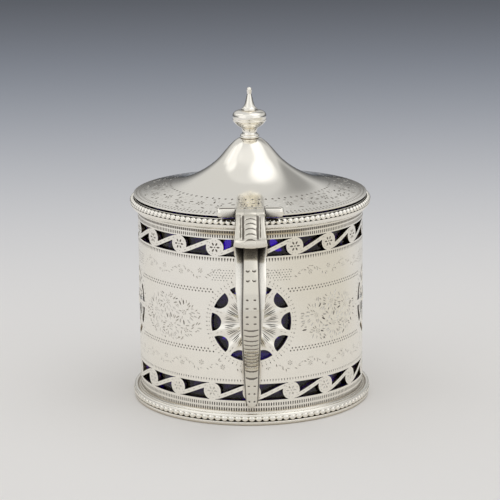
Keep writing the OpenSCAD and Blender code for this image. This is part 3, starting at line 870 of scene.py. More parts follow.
def petal_hole(patera, petal):
    """Outline of a patera's piercing that points along +X."""
    middle = patera - 0.1
    x = (patera**2 - petal**2 + middle**2) / (2 * middle)
    y = math.sqrt(patera**2 - x**2)
    a = math.degrees(math.atan2(y, x - middle))
    b = math.degrees(math.atan2(y, x))
    return joined(arc((middle, 0), petal, a, 360 - a, 18), arc((0, 0), patera, -b, b, 6)[1:-1])


# The seam steps aside this far over the lower frieze and under the upper one
SEAM_OVER, SEAM_UNDER = 1.6, 1.95
# Dots round a patera
PATERA_DOTS = 66
# Beyond a patera's circle: its dots, its short rays, the end of its clear place, its veil of dots
DOTS_OUT, RAYS_OUT, CLEAR_OUT, VEIL_OUT = 0.75, 1.5, 2.1, 2.3
# Rays on a patera's flute: turn from its middle, distance, length, width and tone; the first,
# broad and fine-toned, is painted shade down the flute's hollow
FLUTE_RAYS = (
    (0.0, 5.4, 4.4, 0.66, FINE),
    (-0.13, 5.6, 3.8, 0.24, CUT), (-0.2, 5.9, 3.0, 0.22, CUT), (-0.27, 6.1, 2.4, 0.18, FINE),
    (0.13, 5.6, 3.8, 0.24, CUT), (0.2, 5.9, 3.0, 0.22, CUT), (0.27, 6.1, 2.4, 0.18, FINE),
)
# Distances of the short rays between two flutes
BRIDGE_RAYS = 8.5, 9.6
# Rows of the veil, and dots to each side of its middle
VEIL_ROWS, VEIL_HALF = 5, 13
# Dots round a roundel's flower and their circle
ROUNDEL_DOTS, ROUNDEL_RING = 13, 1.85
# Distances from stroke to stroke in the rows round the drum
DASH_PITCH, TOOTH_PITCH, DOT_PITCH = 0.67, 0.79, 1.0
# Double rows of dots: height from the middle, and shift along the row
DOUBLE_ROW = (0.36, 0.0), (-0.36, 0.5)
TRAIL_HEIGHTS = 41.2, 16.0
# Points round a patera that carry its flutes
PATERA_STEPS = 120


class DrumForm:
    """Where things lie on the drum's wall, in millimetres."""

    def __init__(self, drum, ornament):
        self.drum, self.ornament = drum, ornament
        self.radius = drum.radius
        self.patera_z = (ornament.foot_frieze + ornament.frieze + ornament.rim_frieze) / 2
        self.patera_z -= ornament.patera_drop
        self.cell = 2 * math.pi / ornament.roundels

    def sheet(self):
        """The plain sheet: its seam runs beside a patera and steps aside to a roundel's middle in
        both friezes, so that it meets no piercing."""
        o = self.ornament
        (low_turn, _), (high_turn, _) = self.friezes()
        low = low_turn + round((o.seam - low_turn) / self.cell) * self.cell
        high = high_turn + round((o.seam - high_turn) / self.cell) * self.cell
        seams = np.array([low, o.seam, high]) * self.radius
        steps = o.foot_frieze + o.frieze + SEAM_OVER, o.rim_frieze - SEAM_UNDER
        whole = 2 * math.pi * self.radius
        return CutSheet(whole, self.drum.bottom, self.drum.top, seams, steps)

    def place_drawing(self, drawing, turn_by, z):
        """A flat drawing laid on the wall."""
        drawing = np.asarray(drawing, float)
        u = (turn_by + np.arcsin(drawing[:, 0] / self.radius)) * self.radius
        return np.stack([u, drawing[:, 1] + z], 1)

    def friezes(self):
        """(turn about the drum, height of the middle) of both friezes."""
        o = self.ornament
        half = o.frieze / 2
        return (0.0, o.foot_frieze + half), (o.rim_turn, o.rim_frieze + half)

    def patera_turns(self):
        """(turn about the drum, turn of the petals) of every patera."""
        o = self.ornament
        return [
            (k * 2 * math.pi / o.paterae, k % 2 * math.pi / o.petals) for k in range(o.paterae)
        ]

    def relief(self, phi, z):
        """Rise of the bosses and fall of the flutes."""
        o = self.ornament
        height = np.zeros_like(phi)
        up = z - self.patera_z
        for turn_by, petal_turn in self.patera_turns():
            across = self.radius * np.sin(phi - turn_by)
            rho = np.hypot(across, up)
            near = (rho < o.patera_r - 0.02) & (np.cos(phi - turn_by) > 0)
            pitch = 2 * math.pi / o.petals
            theta = np.arctan2(up, across) - petal_turn
            theta = (theta + pitch / 2) % pitch - pitch / 2
            span = o.patera_r - o.petal_r - o.boss_r
            along = np.clip((rho * np.cos(theta) - o.boss_r) / span, 0, 1.15)
            half = o.petal_r * (0.35 + 0.45 * along)
            bowl = np.clip(1 - (rho * np.sin(theta) / half) ** 2, 0, 1)
            begin = np.clip((rho - o.boss_r) / 0.5, 0, 1)
            flute = -o.flute * bowl * begin
            boss = o.boss_h * np.sqrt(np.clip(1 - (rho / o.boss_r) ** 2, 0, 1))
            height = np.where(near, np.where(rho < o.boss_r, boss, flute), height)
        return height

    def outer(self, flat, depth=0.0):
        """Points of the outer face."""
        phi = flat[:, 0] / self.radius
        r = self.radius + self.relief(phi, flat[:, 1]) + depth
        return round_axis(r, phi, flat[:, 1])

    def inner(self, flat):
        """Points of the inner face."""
        return round_axis(self.radius - self.drum.wall, flat[:, 0] / self.radius, flat[:, 1])

    def normal(self, points):
        """Normals of the uncut faces at points on them."""
        phi = np.arctan2(points[:, 0], -points[:, 1])
        r = np.hypot(points[:, 0], points[:, 1])
        out = np.stack([np.sin(phi), -np.cos(phi), np.zeros_like(phi)], 1)
        round_way = np.stack([np.cos(phi), np.sin(phi), np.zeros_like(phi)], 1)
        e = 0.03
        du = self.relief(phi + e / self.radius, points[:, 2])
        du = (du - self.relief(phi - e / self.radius, points[:, 2])) / (2 * e)
        dz = self.relief(phi, points[:, 2] + e) - self.relief(phi, points[:, 2] - e)
        n = out - du[:, None] * round_way
        n[:, 2] -= dz / (2 * e)
        n /= np.linalg.norm(n, axis=1)[:, None]
        return np.where((r < self.radius - self.drum.wall + 0.05)[:, None], -out, n)

    def pierce(self, sheet):
        """All the piercings of the wall."""
        o = self.ornament
        half_cell = self.radius * math.sin(self.cell / 2)
        line = ribbon_line(half_cell, o.ribbon_rise)
        for turn_by, z in self.friezes():
            for k in range(o.roundels):
                for outline in frieze_holes(half_cell, o.frieze / 2, line, o.ribbon, o.roundel_r):
                    sheet.hole(self.place_drawing(outline, turn_by + (k + 0.5) * self.cell, z))
        petal = petal_hole(o.patera_r, o.petal_r)
        for turn_by, petal_turn in self.patera_turns():
            for k in range(o.petals):
                a = petal_turn + k * 2 * math.pi / o.petals
                c, s = math.cos(a), math.sin(a)
                spun = petal @ np.array([[c, s], [-s, c]])
                sheet.hole(self.place_drawing(spun, turn_by, self.patera_z))

    def engrave(self, sheet):
        """All the graver's cuts on the wall."""
        o, d = self.ornament, self.drum
        rng = random.Random(o.seed)
        deep = o.cut_depth
        for turn_by, petal_turn in self.patera_turns():
            self.engrave_patera(sheet, turn_by * self.radius, petal_turn, deep)
        self.engrave_friezes(sheet, deep)
        low, high = o.foot_frieze, o.rim_frieze + o.frieze
        for v, rise, width in (
            (d.rim_low - 0.45, 0.75, 0.52),
            (high + 0.78, 0.85, 0.34),
            (low - 1.1, 0.9, 0.3),
            (d.foot_top + 0.55, 0.9, 0.36),
        ):
            dash_row(sheet, v, DASH_PITCH, rise, width, deep)
        for v, rise, width in ((o.rim_frieze - 1.0, 1.05, 0.52), (low + o.frieze + 0.9, 0.7, 0.3)):
            zigzag_row(sheet, v, TOOTH_PITCH, rise, width, deep)
        for v in (o.upper_dots, o.lower_dots):
            for up, shift in DOUBLE_ROW:
                dotted_row(sheet, v + up, DOT_PITCH, 0.54, deep, shift)
        for k in range(o.paterae):
            u0 = (k + 0.5) * 2 * math.pi / o.paterae * self.radius
            spray(sheet, u0, self.patera_z - 0.3, 10.6, 6.4, deep, rng)
        for turn_by, _ in self.patera_turns():
            self.veil(sheet, turn_by * self.radius, deep)
        for v in TRAIL_HEIGHTS:
            trail(sheet, v, 1.2, 16, 1.0, deep, rng, 0.0)

    def engrave_patera(self, sheet, u0, petal_turn, deep):
        """The rays of a patera, with dots and short rays round it."""
        o = self.ornament
        pitch = 2 * math.pi / o.petals

        def ray(a, rho, size, width, tone):
            u, v = at_turn(u0, self.patera_z, rho, a)
            sheet.cut(u, v, a, size, width, deep, 0.03, tone)

        for k in range(PATERA_DOTS):
            a = k * 2 * math.pi / PATERA_DOTS
            u, v = at_turn(u0, self.patera_z, o.patera_r + DOTS_OUT, a)
            sheet.dot(u, v, 0.34, deep, FINE)
            ray(a, o.patera_r + RAYS_OUT, 0.62, 0.2, FINE if k % 3 else CUT)
        for k in range(o.petals):
            a = petal_turn + k * pitch
            for lean, rho, size, width, tone in FLUTE_RAYS:
                ray(a + lean, rho, size, width, tone)
            for rho in BRIDGE_RAYS:
                ray(a + pitch / 2, rho, 0.8, 0.16, FINE)
        sheet.keep_clear(u0, self.patera_z, o.patera_r + CLEAR_OUT)

    def engrave_friezes(self, sheet, deep):
        """Flowers in rings of dots on the roundels, and strokes along the ribbons."""
        o = self.ornament
        half_cell = self.radius * math.sin(self.cell / 2)
        line = resampled(ribbon_line(half_cell, o.ribbon_rise), 0.9)[1:-1]
        lean = np.arctan2(*np.gradient(line, axis=0).T[::-1])
        for turn_by, z in self.friezes():
            for k in range(o.roundels):
                u0 = (turn_by + k * self.cell) * self.radius
                flower(sheet, u0, z, 1.5, 6, deep, 0.0, CUT if turn_by else FINE)
                for j in range(ROUNDEL_DOTS):
                    a = j * 2 * math.pi / ROUNDEL_DOTS
                    sheet.dot(*at_turn(u0, z, ROUNDEL_RING, a), 0.3, deep, FINE)
                placed = self.place_drawing(line, turn_by + (k + 0.5) * self.cell, z)
                for (u, v), a in zip(placed, lean):
                    sheet.cut(u, v, a, 0.7, 0.16, deep, None, FINE)

    def veil(self, sheet, u0, deep):
        """Rows of small dots above a patera, outside its rays."""
        clear = self.ornament.patera_r + VEIL_OUT
        for row in range(VEIL_ROWS):
            up = clear - 1.5 + 0.68 * row
            for k in range(-VEIL_HALF, VEIL_HALF + 1):
                across = (k + row % 2 / 2) * 0.8
                if math.hypot(across, up) > clear:
                    sheet.dot(u0 + across, self.patera_z + up, 0.32, deep)

    def grid(self, step_u, step_v):
        """Plain points over the whole sheet."""
        u = np.arange(step_u / 2, 2 * math.pi * self.radius, step_u)
        v = np.arange(self.drum.bottom + step_v / 2, self.drum.top, step_v)
        return grid_of(u, v)

    def patera_points(self):
        """Points that carry the flutes and bosses."""
        o = self.ornament
        rings = np.concatenate(
            [np.linspace(0.15, o.boss_r, 8), np.linspace(o.boss_r + 0.08, o.patera_r + 0.2, 26)]
        )
        points = []
        for turn_by, petal_turn in self.patera_turns():
            for rho in rings:
                a = np.arange(PATERA_STEPS) * 2 * math.pi / PATERA_STEPS + petal_turn
                if rho < o.boss_r:
                    a = a[::4]
                ring = np.stack([rho * np.cos(a), rho * np.sin(a)], 1)
                points.append(self.place_drawing(ring, turn_by, self.patera_z))
        return np.concatenate(points)


def drum_mesh(drum, ornament):
    """The wall: a pierced and cut outer face, a plain inner face and the edges between."""
    form = DrumForm(drum, ornament)
    rows = np.linspace(drum.bottom, drum.top, 28)
    gathered = Gatherer()
    outer = form.sheet()
    outer.border(ROUND_STEPS, rows)
    form.pierce(outer)
    form.engrave(outer)
    outer.scatter(np.concatenate([form.patera_points(), form.grid(1.0, 1.6)]))
    flat, depth, tris, kinds = outer.triangles()
    gathered.add(form.outer(flat, depth), tris, kinds)
    inner = form.sheet()
    for outline in outer.holes:
        inner.hole(outline)
    inner.border(ROUND_STEPS, rows)
    inner.scatter(form.grid(1.6, 3.0))
    flat, _, tris, _ = inner.triangles()
    # The inner face: very dark painted shade
    gathered.add(form.inner(flat), tris, INSIDE_SHADE)
    for outline in outer.holes:
        gathered.strip(form.outer(outline), form.inner(outline))
    for v in (rows[0], rows[-1]):
        us = outer.seam_at(v) + np.arange(ROUND_STEPS) * outer.whole / ROUND_STEPS
        line = np.stack([us, np.full(ROUND_STEPS, v)], 1)
        gathered.strip(form.outer(line), form.inner(line))
    mesh = gathered.mesh("drum_wall")
    set_normals(mesh, form.normal)
    return mesh


# How much longer a bead is along its string than across
BEAD_STRETCH = 1.14


def bead_mesh(name, count, centre_r, radius, z):
    """A string of beads about the drum, each a little longer along the string than high."""
    form = bmesh.new()
    bmesh.ops.create_icosphere(form, subdivisions=3, radius=radius)
    ball = np.array([v.co[:] for v in form.verts])
    faces = [tuple(v.index for v in f.verts) for f in form.faces]
    form.free()
    gathered = Gatherer()
    for k in range(count):
        a = (k + 0.5) * 2 * math.pi / count
        c, s = math.cos(a), math.sin(a)
        out, along = np.array([c, s, 0]), np.array([-s, c, 0])
        spread = ball[:, :1] * out + BEAD_STRETCH * ball[:, 1:2] * along + ball[:, 2:] * (0, 0, 1)
        gathered.add(spread + centre_r * out + (0, 0, z), faces)
    return gathered.mesh(name, 180.0)


def foot_profile(d):
    """Section of the foot moulding, with the seat of its beads."""
    r = d.radius
    centre = (r + d.foot_bead_out, d.foot_bead_z)
    seat = d.foot_bead_r + SOLDER / MM
    brow = (centre[0] + 0.68, centre[1] + 0.5)
    dip = np.array([r + 0.82, d.foot_top - 0.4])
    in_r = r - d.wall - d.foot_ledge
    up = math.degrees(math.atan2(brow[1] - centre[1], brow[0] - centre[0]))
    return joined(
        [(in_r, 0), (d.foot_reach - 0.15, 0), (d.foot_reach - 0.04, 0.05), (d.foot_reach, 0.2)],
        [(d.foot_reach, d.foot_edge - 0.12), (d.foot_reach - 0.1, d.foot_edge)],
        arc(centre, seat, -68, -360 + up, 24),
        curve(brow, (r + 2.05, d.foot_top - 0.3), (r + 1.35, d.foot_top - 0.05), dip, 16),
        curve(dip, dip - (0.25, 0.3), (r + 0.3, dip[1] - 0.2), (r + 0.2, d.foot_top - 0.05), 10),
        [(r + 0.02, d.foot_top), (r + 0.02, d.foot_edge), (in_r, d.foot_edge)],
    )


def rim_profile(d):
    """Section of the rim moulding, with the seat of its beads."""
    r, low, in_r = d.radius, d.rim_low, d.radius - d.wall
    centre = (r + d.rim_bead_out, d.rim_bead_z)
    seat = d.rim_bead_r + SOLDER / MM
    up = math.degrees(math.atan2(d.rim - centre[1], r + 0.8 - centre[0]))
    brow = (r + 2.02, low + 1.9)
    down = math.degrees(math.atan2(brow[1] - centre[1], brow[0] - centre[0]))
    return joined(
        [(r + 0.02, low), (r + 0.42, low), (r + 0.5, low + 0.12)],
        curve((r + 0.5, low + 0.35), (r + 1.1, low + 0.5), (r + 1.75, low + 1.0), brow, 16),
        arc(centre, seat, down, -360 + up, 16),
        [(r + 0.8, d.rim), (r + 0.5, d.rim), (in_r + 0.2, d.rim - d.rim_fall + 0.05)],
        [(in_r, d.rim - d.rim_fall), (in_r, d.top), (r + 0.02, d.top)],
    )


def liner_profile(d):
    """Section of the glass liner."""
    out_r, in_r, top = d.liner_r, d.liner_r - d.liner_wall, d.liner_top
    lip, corner, floor_z = d.liner_wall / 2, d.liner_corner, d.base_top + d.liner_floor
    hollow = max(corner - lip, 0.5)
    return joined(
        [(0, d.base_top)],
        arc((out_r - corner, d.base_top + corner), corner, -90, 0, 16),
        arc((out_r - lip, top - lip), lip, 0, 180, 24),
        arc((in_r - hollow, floor_z + hollow), hollow, 0, -90, 16),
        [(0, floor_z)],
    )


# The handle

# Across the strap, 0 to 1 is the rib; its side bands, which have a material of their own, and its
# underside follow
BAND, UNDER = 2, 3
# A face counts as cut where the mean shares of cut on its two rows add up to more than this
MOSTLY_CUT = 0.6


def face_kinds(marks):
    """Kinds of a loft's faces, its two ends last, from the share of cut at its points."""
    around = (marks + np.roll(marks, -1, 1)) / 2
    return [*((around[:-1] + around[1:]).ravel() > MOSTLY_CUT).astype(int), PLAIN, PLAIN]


def clear_of_drum(points, radius):
    """Keeps points of the handle outside the drum's wall."""
    least = np.sqrt(np.maximum((radius + 0.03) ** 2 - points[..., 0] ** 2, 0))
    points[..., 1] = np.minimum(points[..., 1], -least)
    return points


def strap_line(h, radius):
    """The strap's rib face from the scroll down round the bow to the tail (reach, height)."""
    strap_r = h.lip_r - h.strap_set
    bow_out = h.bow_r - radius
    bend = np.array([radius + 0.41 * bow_out, h.tail_z + 0.51 * (h.bow_z - h.tail_z)])
    tail_r = radius + h.tail_out
    tail_top = h.tail_z + 0.23 * (h.bow_z - h.tail_z)
    line = joined(
        curve((strap_r, h.lip_low), (strap_r + 2, h.lip_low - 4),
              (h.bow_r, h.bow_z + 0.42 * (h.lip_low - h.bow_z)), (h.bow_r, h.bow_z), 80),
        curve((h.bow_r, h.bow_z), (h.bow_r, h.bow_z - 4.8), bend + (5.5, 3.9), bend, 80),
        curve(bend, bend - (3.7, 2.65), (tail_r, tail_top + 3.5), (tail_r, tail_top), 80),
        [(tail_r, h.tail_z)],
    )
    return resampled(line, 0.12), bend[1], tail_top


def crescent(s, place, spread, bow, half):
    """Share of one cut's depth at distances s along a rib; its ends bend along the rib by bow."""
    across = np.clip(1 - spread**2, 0, 1) ** 0.5
    return across * np.clip(1 - np.abs(s - place - bow * spread**2) / half, 0, 1)


def strap_cuts(h, s, side):
    """Share of cut on the strap's rib: pairs, then dots, whole crescents round the bend and dots
    again on the tail."""
    # How a cut lies across the rib, its bow and half its width
    pair = (side - 0.42) / 0.3, -0.3, 0.34
    dots = (side - 0.45) / 0.2, 0.0, 0.32
    whole = side / 0.94, -0.55, 0.42
    deep = np.zeros_like(side)
    for first, last, count, cut in (
        (7.3, 10.2, 2, pair),
        (15.4, 22.0, 4, dots),
        (24.6, 50.8, h.notches, whole),
        (52.8, 57.1, 3, dots),
    ):
        for place in np.linspace(first, last, count):
            deep = np.maximum(deep, crescent(s, place, *cut))
    return deep


def strap_mesh(h, radius):
    """The strap: a notched middle rib between two flat bands, down to a round tail."""
    line, bend_z, tail_top = strap_line(h, radius)
    s, z, normal = arc_length(line), line[:, 1], normals_of(line)
    half = h.tail_w / 2
    heights = [h.tail_z + half, tail_top, bend_z + 6, h.bow_z, h.lip_low]
    widths = [half, h.rib_w / 2 - 0.4, h.rib_w / 2, h.rib_w / 2, h.rib_top_w / 2]
    rib = np.interp(z, heights, widths)
    heights = [h.tail_z + half, tail_top, bend_z + 6, h.band_z]
    widths = [half, h.rib_w / 2 - 0.2, h.rib_w / 2 + 0.15, h.band_w / 2]
    band = np.interp(z, heights, widths)
    tip = np.clip(h.tail_z + half - z, 0, half * 0.999)
    rib = np.where(tip > 0, np.sqrt(half**2 - tip**2), rib) - 0.14
    band = np.where(tip > 0, 0.0, band)
    band = np.maximum(band, rib + 0.14)
    low = -h.rib_h
    bottom = low - h.strap_t
    step, round_r = rib + 0.12, np.minimum(0.22, (band - rib) / 2)

    def level(height):
        return np.full_like(z, height)

    # Half the section: reach from its middle, height and place across
    columns = [(rib * t, level(-0.1 * t * t), t) for t in np.linspace(0, 1, 15)]
    columns.append((step, level(low), BAND))
    for t in (0.5, 1.0):
        columns.append((step + (band - round_r - step) * t, level(low), BAND))
    for a in np.radians((30, 60, 90)):
        fall = round_r * (1 - math.cos(a))
        columns.append((band - round_r * (1 - math.sin(a)), low - fall, BAND))
    columns.append((band, level(bottom + 0.25), UNDER))
    columns.append((np.maximum(band - 0.25, 0.05), level(bottom), UNDER))
    columns.append((band * 0.5, level(bottom), UNDER))
    columns += [(-x, height, t) for x, height, t in columns[:0:-1]]
    side = np.array([t for _, _, t in columns])[None, :] + 0 * s[:, None]
    marks = np.where(side > 1, 0, strap_cuts(h, s[:, None] + 0 * side, side))
    sections = []
    for (x, height, _), deep in zip(columns, marks.T):
        height = height - h.notch * deep
        sections.append(np.stack([x, -(line[:, 0] + normal[:, 0] * height),
                                  z + normal[:, 1] * height], 1))
    points = clear_of_drum(np.stack(sections, 1), radius)
    points[0, :, 2] = h.lip_low - 0.01
    verts, faces = loft(points)
    # Painted shade: the faces on both sides of the rib's edge take the cut colour, a dark line
    # down each side of the rib
    marks[:, side[0] == 1] = 0.7
    kinds = np.array(face_kinds(marks))
    in_band = (side[0] == BAND) & (np.roll(side[0], -1) == BAND)
    kinds[:-2][np.tile(in_band, len(s) - 1)] = BAND
    return make_mesh("handle_strap", verts, faces, 28.0, kinds)


def block(outline, across, width_at, relief=None, round_r=0.3):
    """A side-view outline (clockwise reach and height) made wide, with rounded outer corners."""
    d = np.roll(outline, -1, 0) - np.roll(outline, 1, 0)
    d /= np.linalg.norm(d, axis=1)[:, None]
    normal = np.stack([-d[:, 1], d[:, 0]], 1)
    rows = []
    for t in across:
        x = t * width_at(outline[:, 1])
        inset = np.zeros(len(outline))
        from_edge = width_at(outline[:, 1]) - np.abs(x)
        at_edge = from_edge < round_r
        inset[at_edge] = round_r - np.sqrt(
            np.clip(round_r**2 - (round_r - from_edge[at_edge]) ** 2, 0, None)
        )
        if relief is not None:
            inset = inset + relief(x)
        p = outline - normal * inset[:, None]
        rows.append(np.stack([x, -p[:, 0], p[:, 1]], 1))
    return np.stack(rows, 0)


def columns_across(count, edge=0.12):
    """Places from -1 to 1, closer together near both ends."""
    ends = 1 - edge * (1 - np.sin(np.linspace(0, math.pi / 2, 6)))
    middle = np.linspace(-(1 - edge), 1 - edge, count)
    return np.unique(np.round(np.concatenate([-ends, middle, ends]), 6))


def scroll_mesh(h, lid, drum):
    """The scroll: middle knuckle, fluted shield with a notched rib, lip and root."""
    lip_z = h.lip_low + h.lip_t
    crest = lid.hinge_z + lid.knuckle_r - 0.12
    top = curve((lid.hinge_r, crest), (lid.hinge_r + 5, crest - 0.2),
                (h.lip_r - 2.6, lip_z + 3.2), (h.lip_r, lip_z), 120)
    top = resampled(top[top[:, 0] > lid.hinge_r + 0.6], 0.12)
    strap_r = h.lip_r - h.strap_set
    stand_r = drum.radius + drum.rim_bead_out + drum.rim_bead_r + 0.45
    foot = math.degrees(math.asin((lid.hinge_r - stand_r) / lid.knuckle_r))
    head = math.degrees(math.acos((top[0, 0] - lid.hinge_r) / lid.knuckle_r))
    outline = joined(
        top,
        curve(top[-1], (h.lip_r + 0.15, lip_z - 0.25), (h.lip_r + 0.25, h.lip_low + 0.35),
              (h.lip_r - 0.1, h.lip_low + 0.12), 8),
        [(h.lip_r - 0.5, h.lip_low), (strap_r, h.lip_low)],
        curve((strap_r - h.strap_t - h.rib_h - 1, h.lip_low), (strap_r - 6, h.lip_low),
              (drum.radius + 4, h.root_low + 2), (drum.radius, h.root_low), 30),
        [(drum.radius, (h.root_low + h.root_top) / 2), (drum.radius, h.root_top)],
        [(stand_r, h.root_top), (stand_r, h.root_top + 2.5)],
        arc((lid.hinge_r, lid.hinge_z), lid.knuckle_r, 270 - foot, head, 30),
    )
    n = len(top)
    s = arc_length(top)
    brow = 0.26 * s[-1]
    fade = np.clip((s - brow) / 1.0, 0, 1) * np.clip((s[-1] - 0.9 - s) / 1.0, 0, 1)
    places = np.linspace(brow + 1.9, s[-1] - 1.3, 5)

    def width_at(z):
        shoulder = lid.hinge_z - lid.knuckle_r
        return np.interp(z, [h.lip_low, shoulder], [h.lip_w / 2, h.knuckle_l / 2])

    def cuts(side):
        deep = np.zeros_like(side)
        for place in places:
            deep = np.maximum(deep, crescent(s, place, side / (h.rib / 2 - 0.1), 0.6, 0.26))
        return deep

    def relief(x):
        depth = np.zeros(len(outline))
        side = np.abs(x[:n])
        across = np.clip((side - h.rib / 2) / h.flute_w, 0, 1)
        depth[:n] += h.flute_d * np.sin(math.pi * across) ** 0.7 * fade
        t = np.clip(side / (h.rib / 2), 0, 1)
        depth[:n] += np.where(side < h.rib / 2, h.notch * cuts(side) + 0.1 * t * t, 0)
        depth[:n] += 0.2 * np.exp(-(((s[-1] - 1.3 - s) / 0.3) ** 2))
        depth[:n] += 0.22 * np.exp(-(((brow - s) / 0.5) ** 2))
        return depth

    rows = block(outline, columns_across(61), width_at, relief, 0.35)
    side = np.abs(rows[:, :n, 0])
    # Painted shade: the inner half of each flute beside the rib takes the cut colour
    dark = 0.28
    groove = (np.abs(side - h.rib / 2 - dark) < dark) * (fade > 0.5)
    marks = np.zeros(rows.shape[:2])
    marks[:, :n] = np.maximum(cuts(side), groove)
    ends = np.clip((-rows[..., 1] - strap_r - 0.3) / 1.5, 0, 1)
    ends = ends * np.clip((lip_z + 1.5 - rows[..., 2]) / 1.5, 0, 1)
    rows[..., 2] += 0.55 * ends * (rows[..., 0] / (h.lip_w / 2)) ** 2
    verts, faces = loft(clear_of_drum(rows, drum.radius))
    return make_mesh("handle_scroll", verts, faces, 32.0, face_kinds(marks))


# The lid and what it carries

# Millimetres: play round stem and pin, and what the lid's edge is thinner than its solid
FIT = 0.01
EDGE_THIN = 0.28
# Steps round a knuckle, and its faces along one dark line: a painted dark reflection along the
# knuckle
LUG_STEPS = 48
LUG_SHADE_LINE = slice(2, 8), slice(28, 30)
# How often a small leaf is tried between the leaves of the lid's trail
FLANGE_FILL = 1500


def lid_line(lid):
    """The lid's upper face from the seat down over the dome and out along the flange."""
    edge_z = lid.low + lid.edge
    turn_at = np.array([lid.turn_r, edge_z + lid.turn_rise])
    foot = np.array([lid.radius - lid.flange, edge_z + lid.flange_rise])
    rim = np.array([lid.radius, edge_z])
    third = lid.flange / 3
    dome = joined(
        curve((lid.seat_r, lid.seat), (lid.seat_r + 1.6, lid.seat - 0.65),
              turn_at + (-1.4, 1.4 * 1.15), turn_at, 28),
        curve(turn_at, turn_at + (2.6, -2.6 * 1.15), foot + (-5.5, 5.5 * 0.25), foot, 40),
    )
    flange = curve(foot, foot + (third, -third * 0.25), rim + (-third, third * 0.19), rim, 40)
    return dome, flange


class FlangeForm:
    """The engraved flange, developed at its middle radius."""

    def __init__(self, lid, ornament):
        dome, flange = lid_line(lid)
        self.dome, self.flange = dome, flange
        self.length = arc_length(flange)
        self.reference = (flange[0, 0] + flange[-1, 0]) / 2
        self.seam = ornament.seam
        self.whole = 2 * math.pi * self.reference

    def outer(self, flat, depth=0.0):
        """Points of the flange's upper face."""
        phi = flat[:, 0] / self.reference
        r = np.interp(flat[:, 1], self.length, self.flange[:, 0])
        z = np.interp(flat[:, 1], self.length, self.flange[:, 1]) + depth
        return round_axis(r, phi, z)

    def normal(self, points):
        """Normals of the lid's upper face at points on it."""
        whole = joined(self.dome, self.flange)
        slope = normals_of(whole)
        r = np.hypot(points[:, 0], points[:, 1])
        out = np.interp(r, whole[:, 0], slope[:, 0])
        up = np.interp(r, whole[:, 0], slope[:, 1])
        safe = np.maximum(r, 1e-9)
        n = np.stack([points[:, 0] / safe * out, points[:, 1] / safe * out, up], 1)
        return n / np.linalg.norm(n, axis=1)[:, None]


def lid_mesh(lid, ornament):
    """The lid: plain dome, cut flange, thin edge and hollow underside."""
    form = FlangeForm(lid, ornament)
    width = form.length[-1]
    rows = np.linspace(0, width, 9)
    rng = random.Random(ornament.seed + 1)
    deep = ornament.cut_depth
    sheet = CutSheet(form.whole, 0.0, width, [form.seam * form.reference])
    sheet.border(ROUND_STEPS, rows)
    dotted_row(sheet, 0.9, 2.2, 0.95, deep)
    dotted_row(sheet, width - 0.75, 1.0, 0.6, deep)
    zigzag_row(sheet, width - 1.9, 1.0, 0.9, 0.5, deep)
    trail(sheet, width / 2 - 0.3, 2.0, 13, 1.7, deep, rng, 0.7)
    for _ in range(FLANGE_FILL):
        u, v = rng.uniform(0, sheet.whole), rng.uniform(1.8, width - 2.6)
        tone = CUT if rng.random() < 0.4 else FINE
        sheet.cut(u, v, rng.uniform(-0.5, 0.5), rng.uniform(0.9, 1.6), 0.42, deep, 0.16, tone)
    u = np.arange(0.5, form.whole, 1.0)
    v = np.arange(0.6, width, 0.9)
    sheet.scatter(grid_of(u, v))
    flat, depth, tris, kinds = sheet.triangles()
    gathered = Gatherer()
    gathered.add(form.outer(flat, depth), tris, kinds)
    hole = lid.stem + FIT
    top = joined([(hole, lid.seat)], form.dome)
    gathered.add(*lathe(top, ROUND_STEPS, False, form.seam))
    whole = joined(form.dome, form.flange)
    under = beside(whole, -lid.sheet)
    under = under[under[:, 0] < lid.radius - 0.9][::-1]
    edge_low = lid.low + EDGE_THIN
    rest = joined(
        [whole[-1], (lid.radius, edge_low + 0.1), (lid.radius - 0.1, edge_low)],
        under[under[:, 1] > edge_low - 0.25],
        [(hole, lid.seat - lid.sheet), (hole, lid.seat)],
    )
    gathered.add(*lathe(rest[:2], ROUND_STEPS, False, form.seam))
    # The underside: very dark painted shade
    gathered.add(*lathe(rest[1:], ROUND_STEPS, False, form.seam), INSIDE_SHADE)
    mesh = gathered.mesh("lid_dome")
    set_normals(mesh, form.normal, 0.985)
    return mesh


def about_hinge(lid, profile, steps):
    """A profile (radius, place along X) turned about the hinge's axis."""
    verts, faces = lathe(profile, steps, False)
    return np.stack([verts[:, 2], verts[:, 0] - lid.hinge_r, verts[:, 1] + lid.hinge_z], 1), faces


